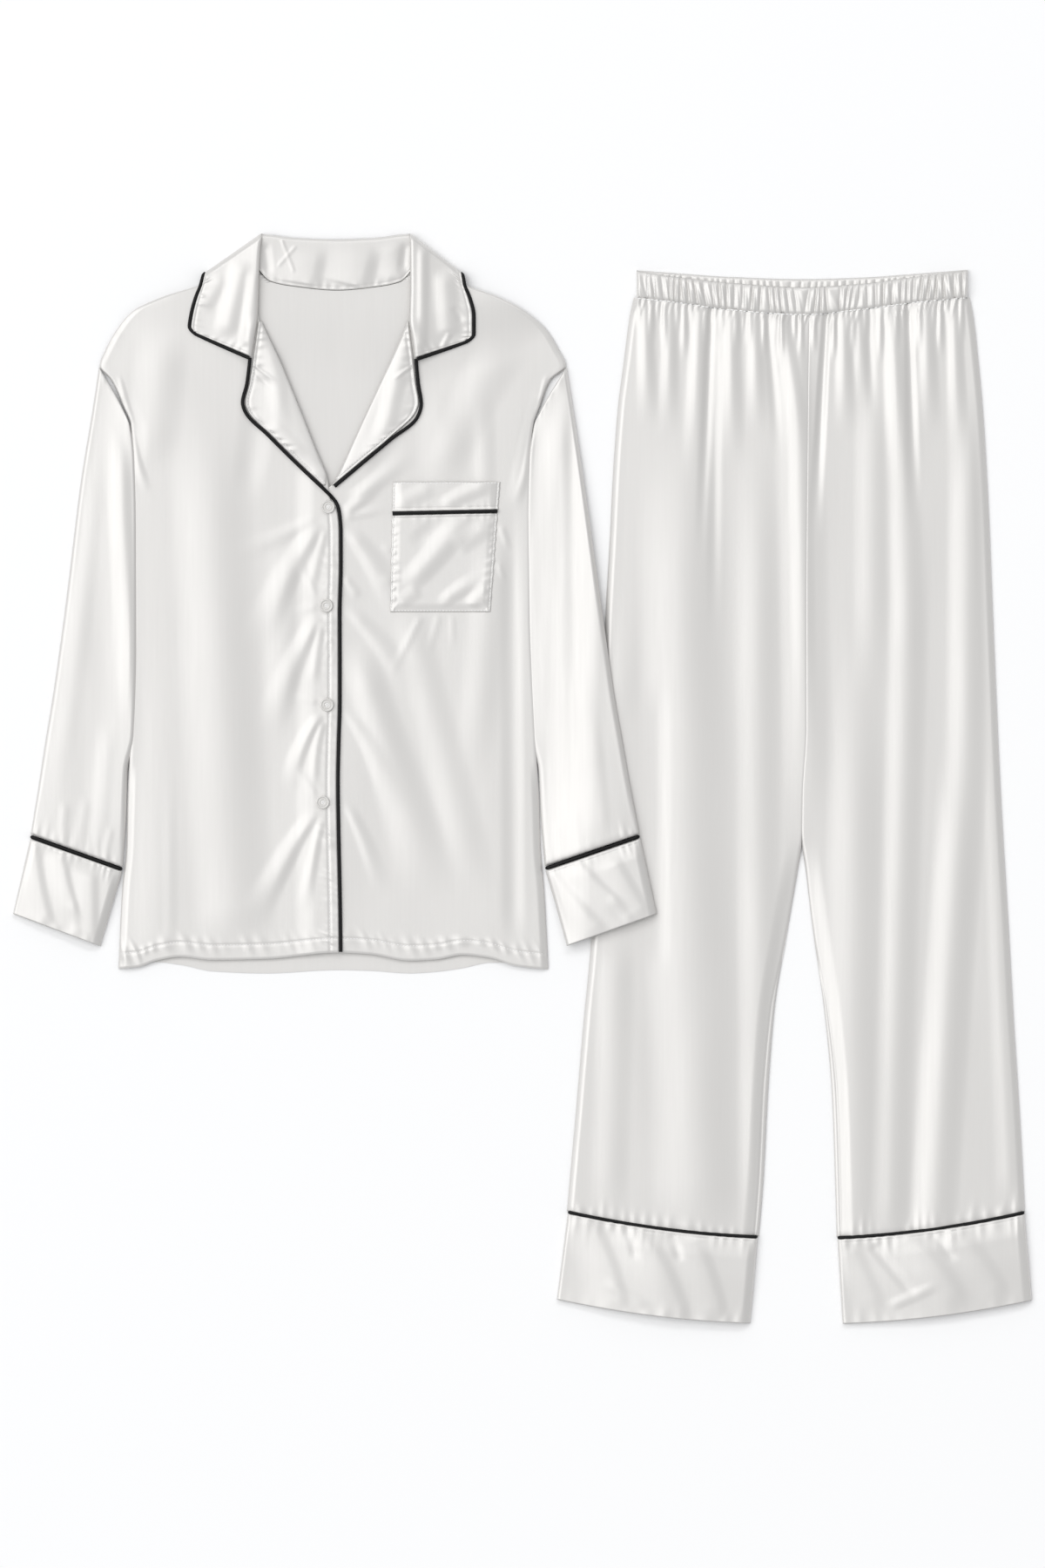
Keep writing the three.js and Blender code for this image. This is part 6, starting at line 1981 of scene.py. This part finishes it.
def trouser_stitching(finishes: Wardrobe) -> None:
    """Stitches the waist seam, whose row is also a painted highlight laid over its shade, and the tacked end of
    the casing.

    Args:
        finishes: the finishes.
    """
    x = np.linspace(WAIST.column("x")[0] + 2, WAIST.column("x")[-1] - 2, 220)
    seam, top = WAIST.curve("x", "seam"), WAIST.curve("x", "front")
    paths = [np.stack([x, seam(x) - 0.3], axis=1)]
    cloth = ["waistband_cloth", "trouser_front_right_cloth", "trouser_front_left_cloth"]
    # The waist row is thick white beads, nearly unbroken, laid over the dark gap under the casing: a painted
    # highlight along the seam that also covers the shade there.
    Stitches("waist_stitches", TROUSERS, finishes, cloth, length=3.6, gap=0.4, radius=0.75).build(paths)
    paths = []
    level = np.linspace(0.12, 0.9, 20)
    for at in TACKS:
        column = np.full(20, at)
        paths.append(np.stack([column, mix(seam(column), top(column), level)], axis=1))
    Stitches("casing_stitches", TROUSERS, finishes, cloth, length=2.3, gap=0.7, radius=0.4).build(paths)


# Studio


@dataclass
class Studio:
    """Pale paper, soft lights and the camera straight above."""

    frame_height: float = 1.4875  # what the photograph spans on the paper, top to bottom
    centre_y: float = -0.005
    distance: float = 11.0
    drop: float = 0.0003  # how far the paper lies below the cloth, so that they share no plane
    sensor: float = 36.0  # millimetres

    def light(self, name: str, at: tuple, aim: tuple, size: tuple, power: float, colour: str = "FFFFFF") -> None:
        """Hangs a soft box.

        Args:
            name: its name.
            at: its place, metres.
            aim: the point it faces.
            size: its width and height.
            power: watts.
            colour: sRGB hex.
        """
        lamp = bpy.data.lights.new(name, "AREA")
        lamp.shape = "RECTANGLE"
        lamp.size, lamp.size_y = size
        lamp.energy = power
        lamp.color = linear(colour)[:3]
        box = bpy.data.objects.new(name, lamp)
        box.location = at
        box.rotation_euler = (Vector(aim) - Vector(at)).to_track_quat("-Z", "Y").to_euler()
        bpy.context.scene.collection.objects.link(box)

    def build(self) -> None:
        """Sets up the paper, the lights and the camera."""
        bm = bmesh.new()
        bmesh.ops.create_grid(bm, x_segments=2, y_segments=2, size=6.0)
        floor = finished(bm, "floor", smooth=False)
        floor.data.materials.append(Paper("studio_paper", "FEFEFE").material())
        floor.location.z = -self.drop

        self.light("key", (-12.4, 3.4, 21.0), (0, 0, 0), (22.0, 24.0), 3450)
        self.light("top", (3.4, 18.0, 19.0), (0, 0, 0), (16.0, 6.0), 990)
        world = bpy.data.worlds.new("studio_air")
        world.use_nodes = True
        world.node_tree.nodes["Background"].inputs[0].default_value = linear("F6F7F9")
        world.node_tree.nodes["Background"].inputs[1].default_value = 0.56
        bpy.context.scene.world = world
        bpy.context.scene.view_settings.view_transform = "Standard"

        lens = bpy.data.cameras.new("camera")
        lens.sensor_fit = "VERTICAL"
        lens.sensor_height = self.sensor
        lens.lens = self.sensor * self.distance / self.frame_height
        lens.clip_end = 50.0
        camera = bpy.data.objects.new("camera", lens)
        camera.location = (0.0, self.centre_y, self.distance)
        bpy.context.scene.collection.objects.link(camera)
        bpy.context.scene.camera = camera


def main() -> None:
    """Builds the set piece by piece."""
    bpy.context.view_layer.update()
    Studio().build()
    finishes = Wardrobe()

    shirt = ShirtForm()
    trousers = TrouserForm()
    ShirtBody(shirt, finishes).build()
    Lapels(shirt, finishes).build()
    collar = Collar(shirt, finishes)
    collar.build()
    pocket = Pocket(shirt, finishes)
    pocket.build()
    piping = EdgePiping(shirt, collar, finishes)
    piping.build()
    Buttons(shirt, finishes).build()
    shirt_stitching(shirt, pocket, piping, finishes)

    def on_trousers(x: Array, y: Array) -> Array:
        """Height of the trousers below the wearer's left sleeve, at places of the shirt."""
        tx, ty = x + SHIRT.x - TROUSERS.x, y + SHIRT.y - TROUSERS.y
        edge = trousers.side["right"](ty)
        ramp = rises(tx - edge, -52, 48)
        return ramp * (trousers.height(np.maximum(tx, edge + 24), ty, "right") + 0.9)

    Sleeve("right", finishes, on_floor).build()
    Sleeve("left", finishes, on_trousers).build()
    Legs(trousers, finishes).build()
    Waistband(finishes).build()
    trouser_stitching(finishes)


if __name__ == "__main__":
    main()
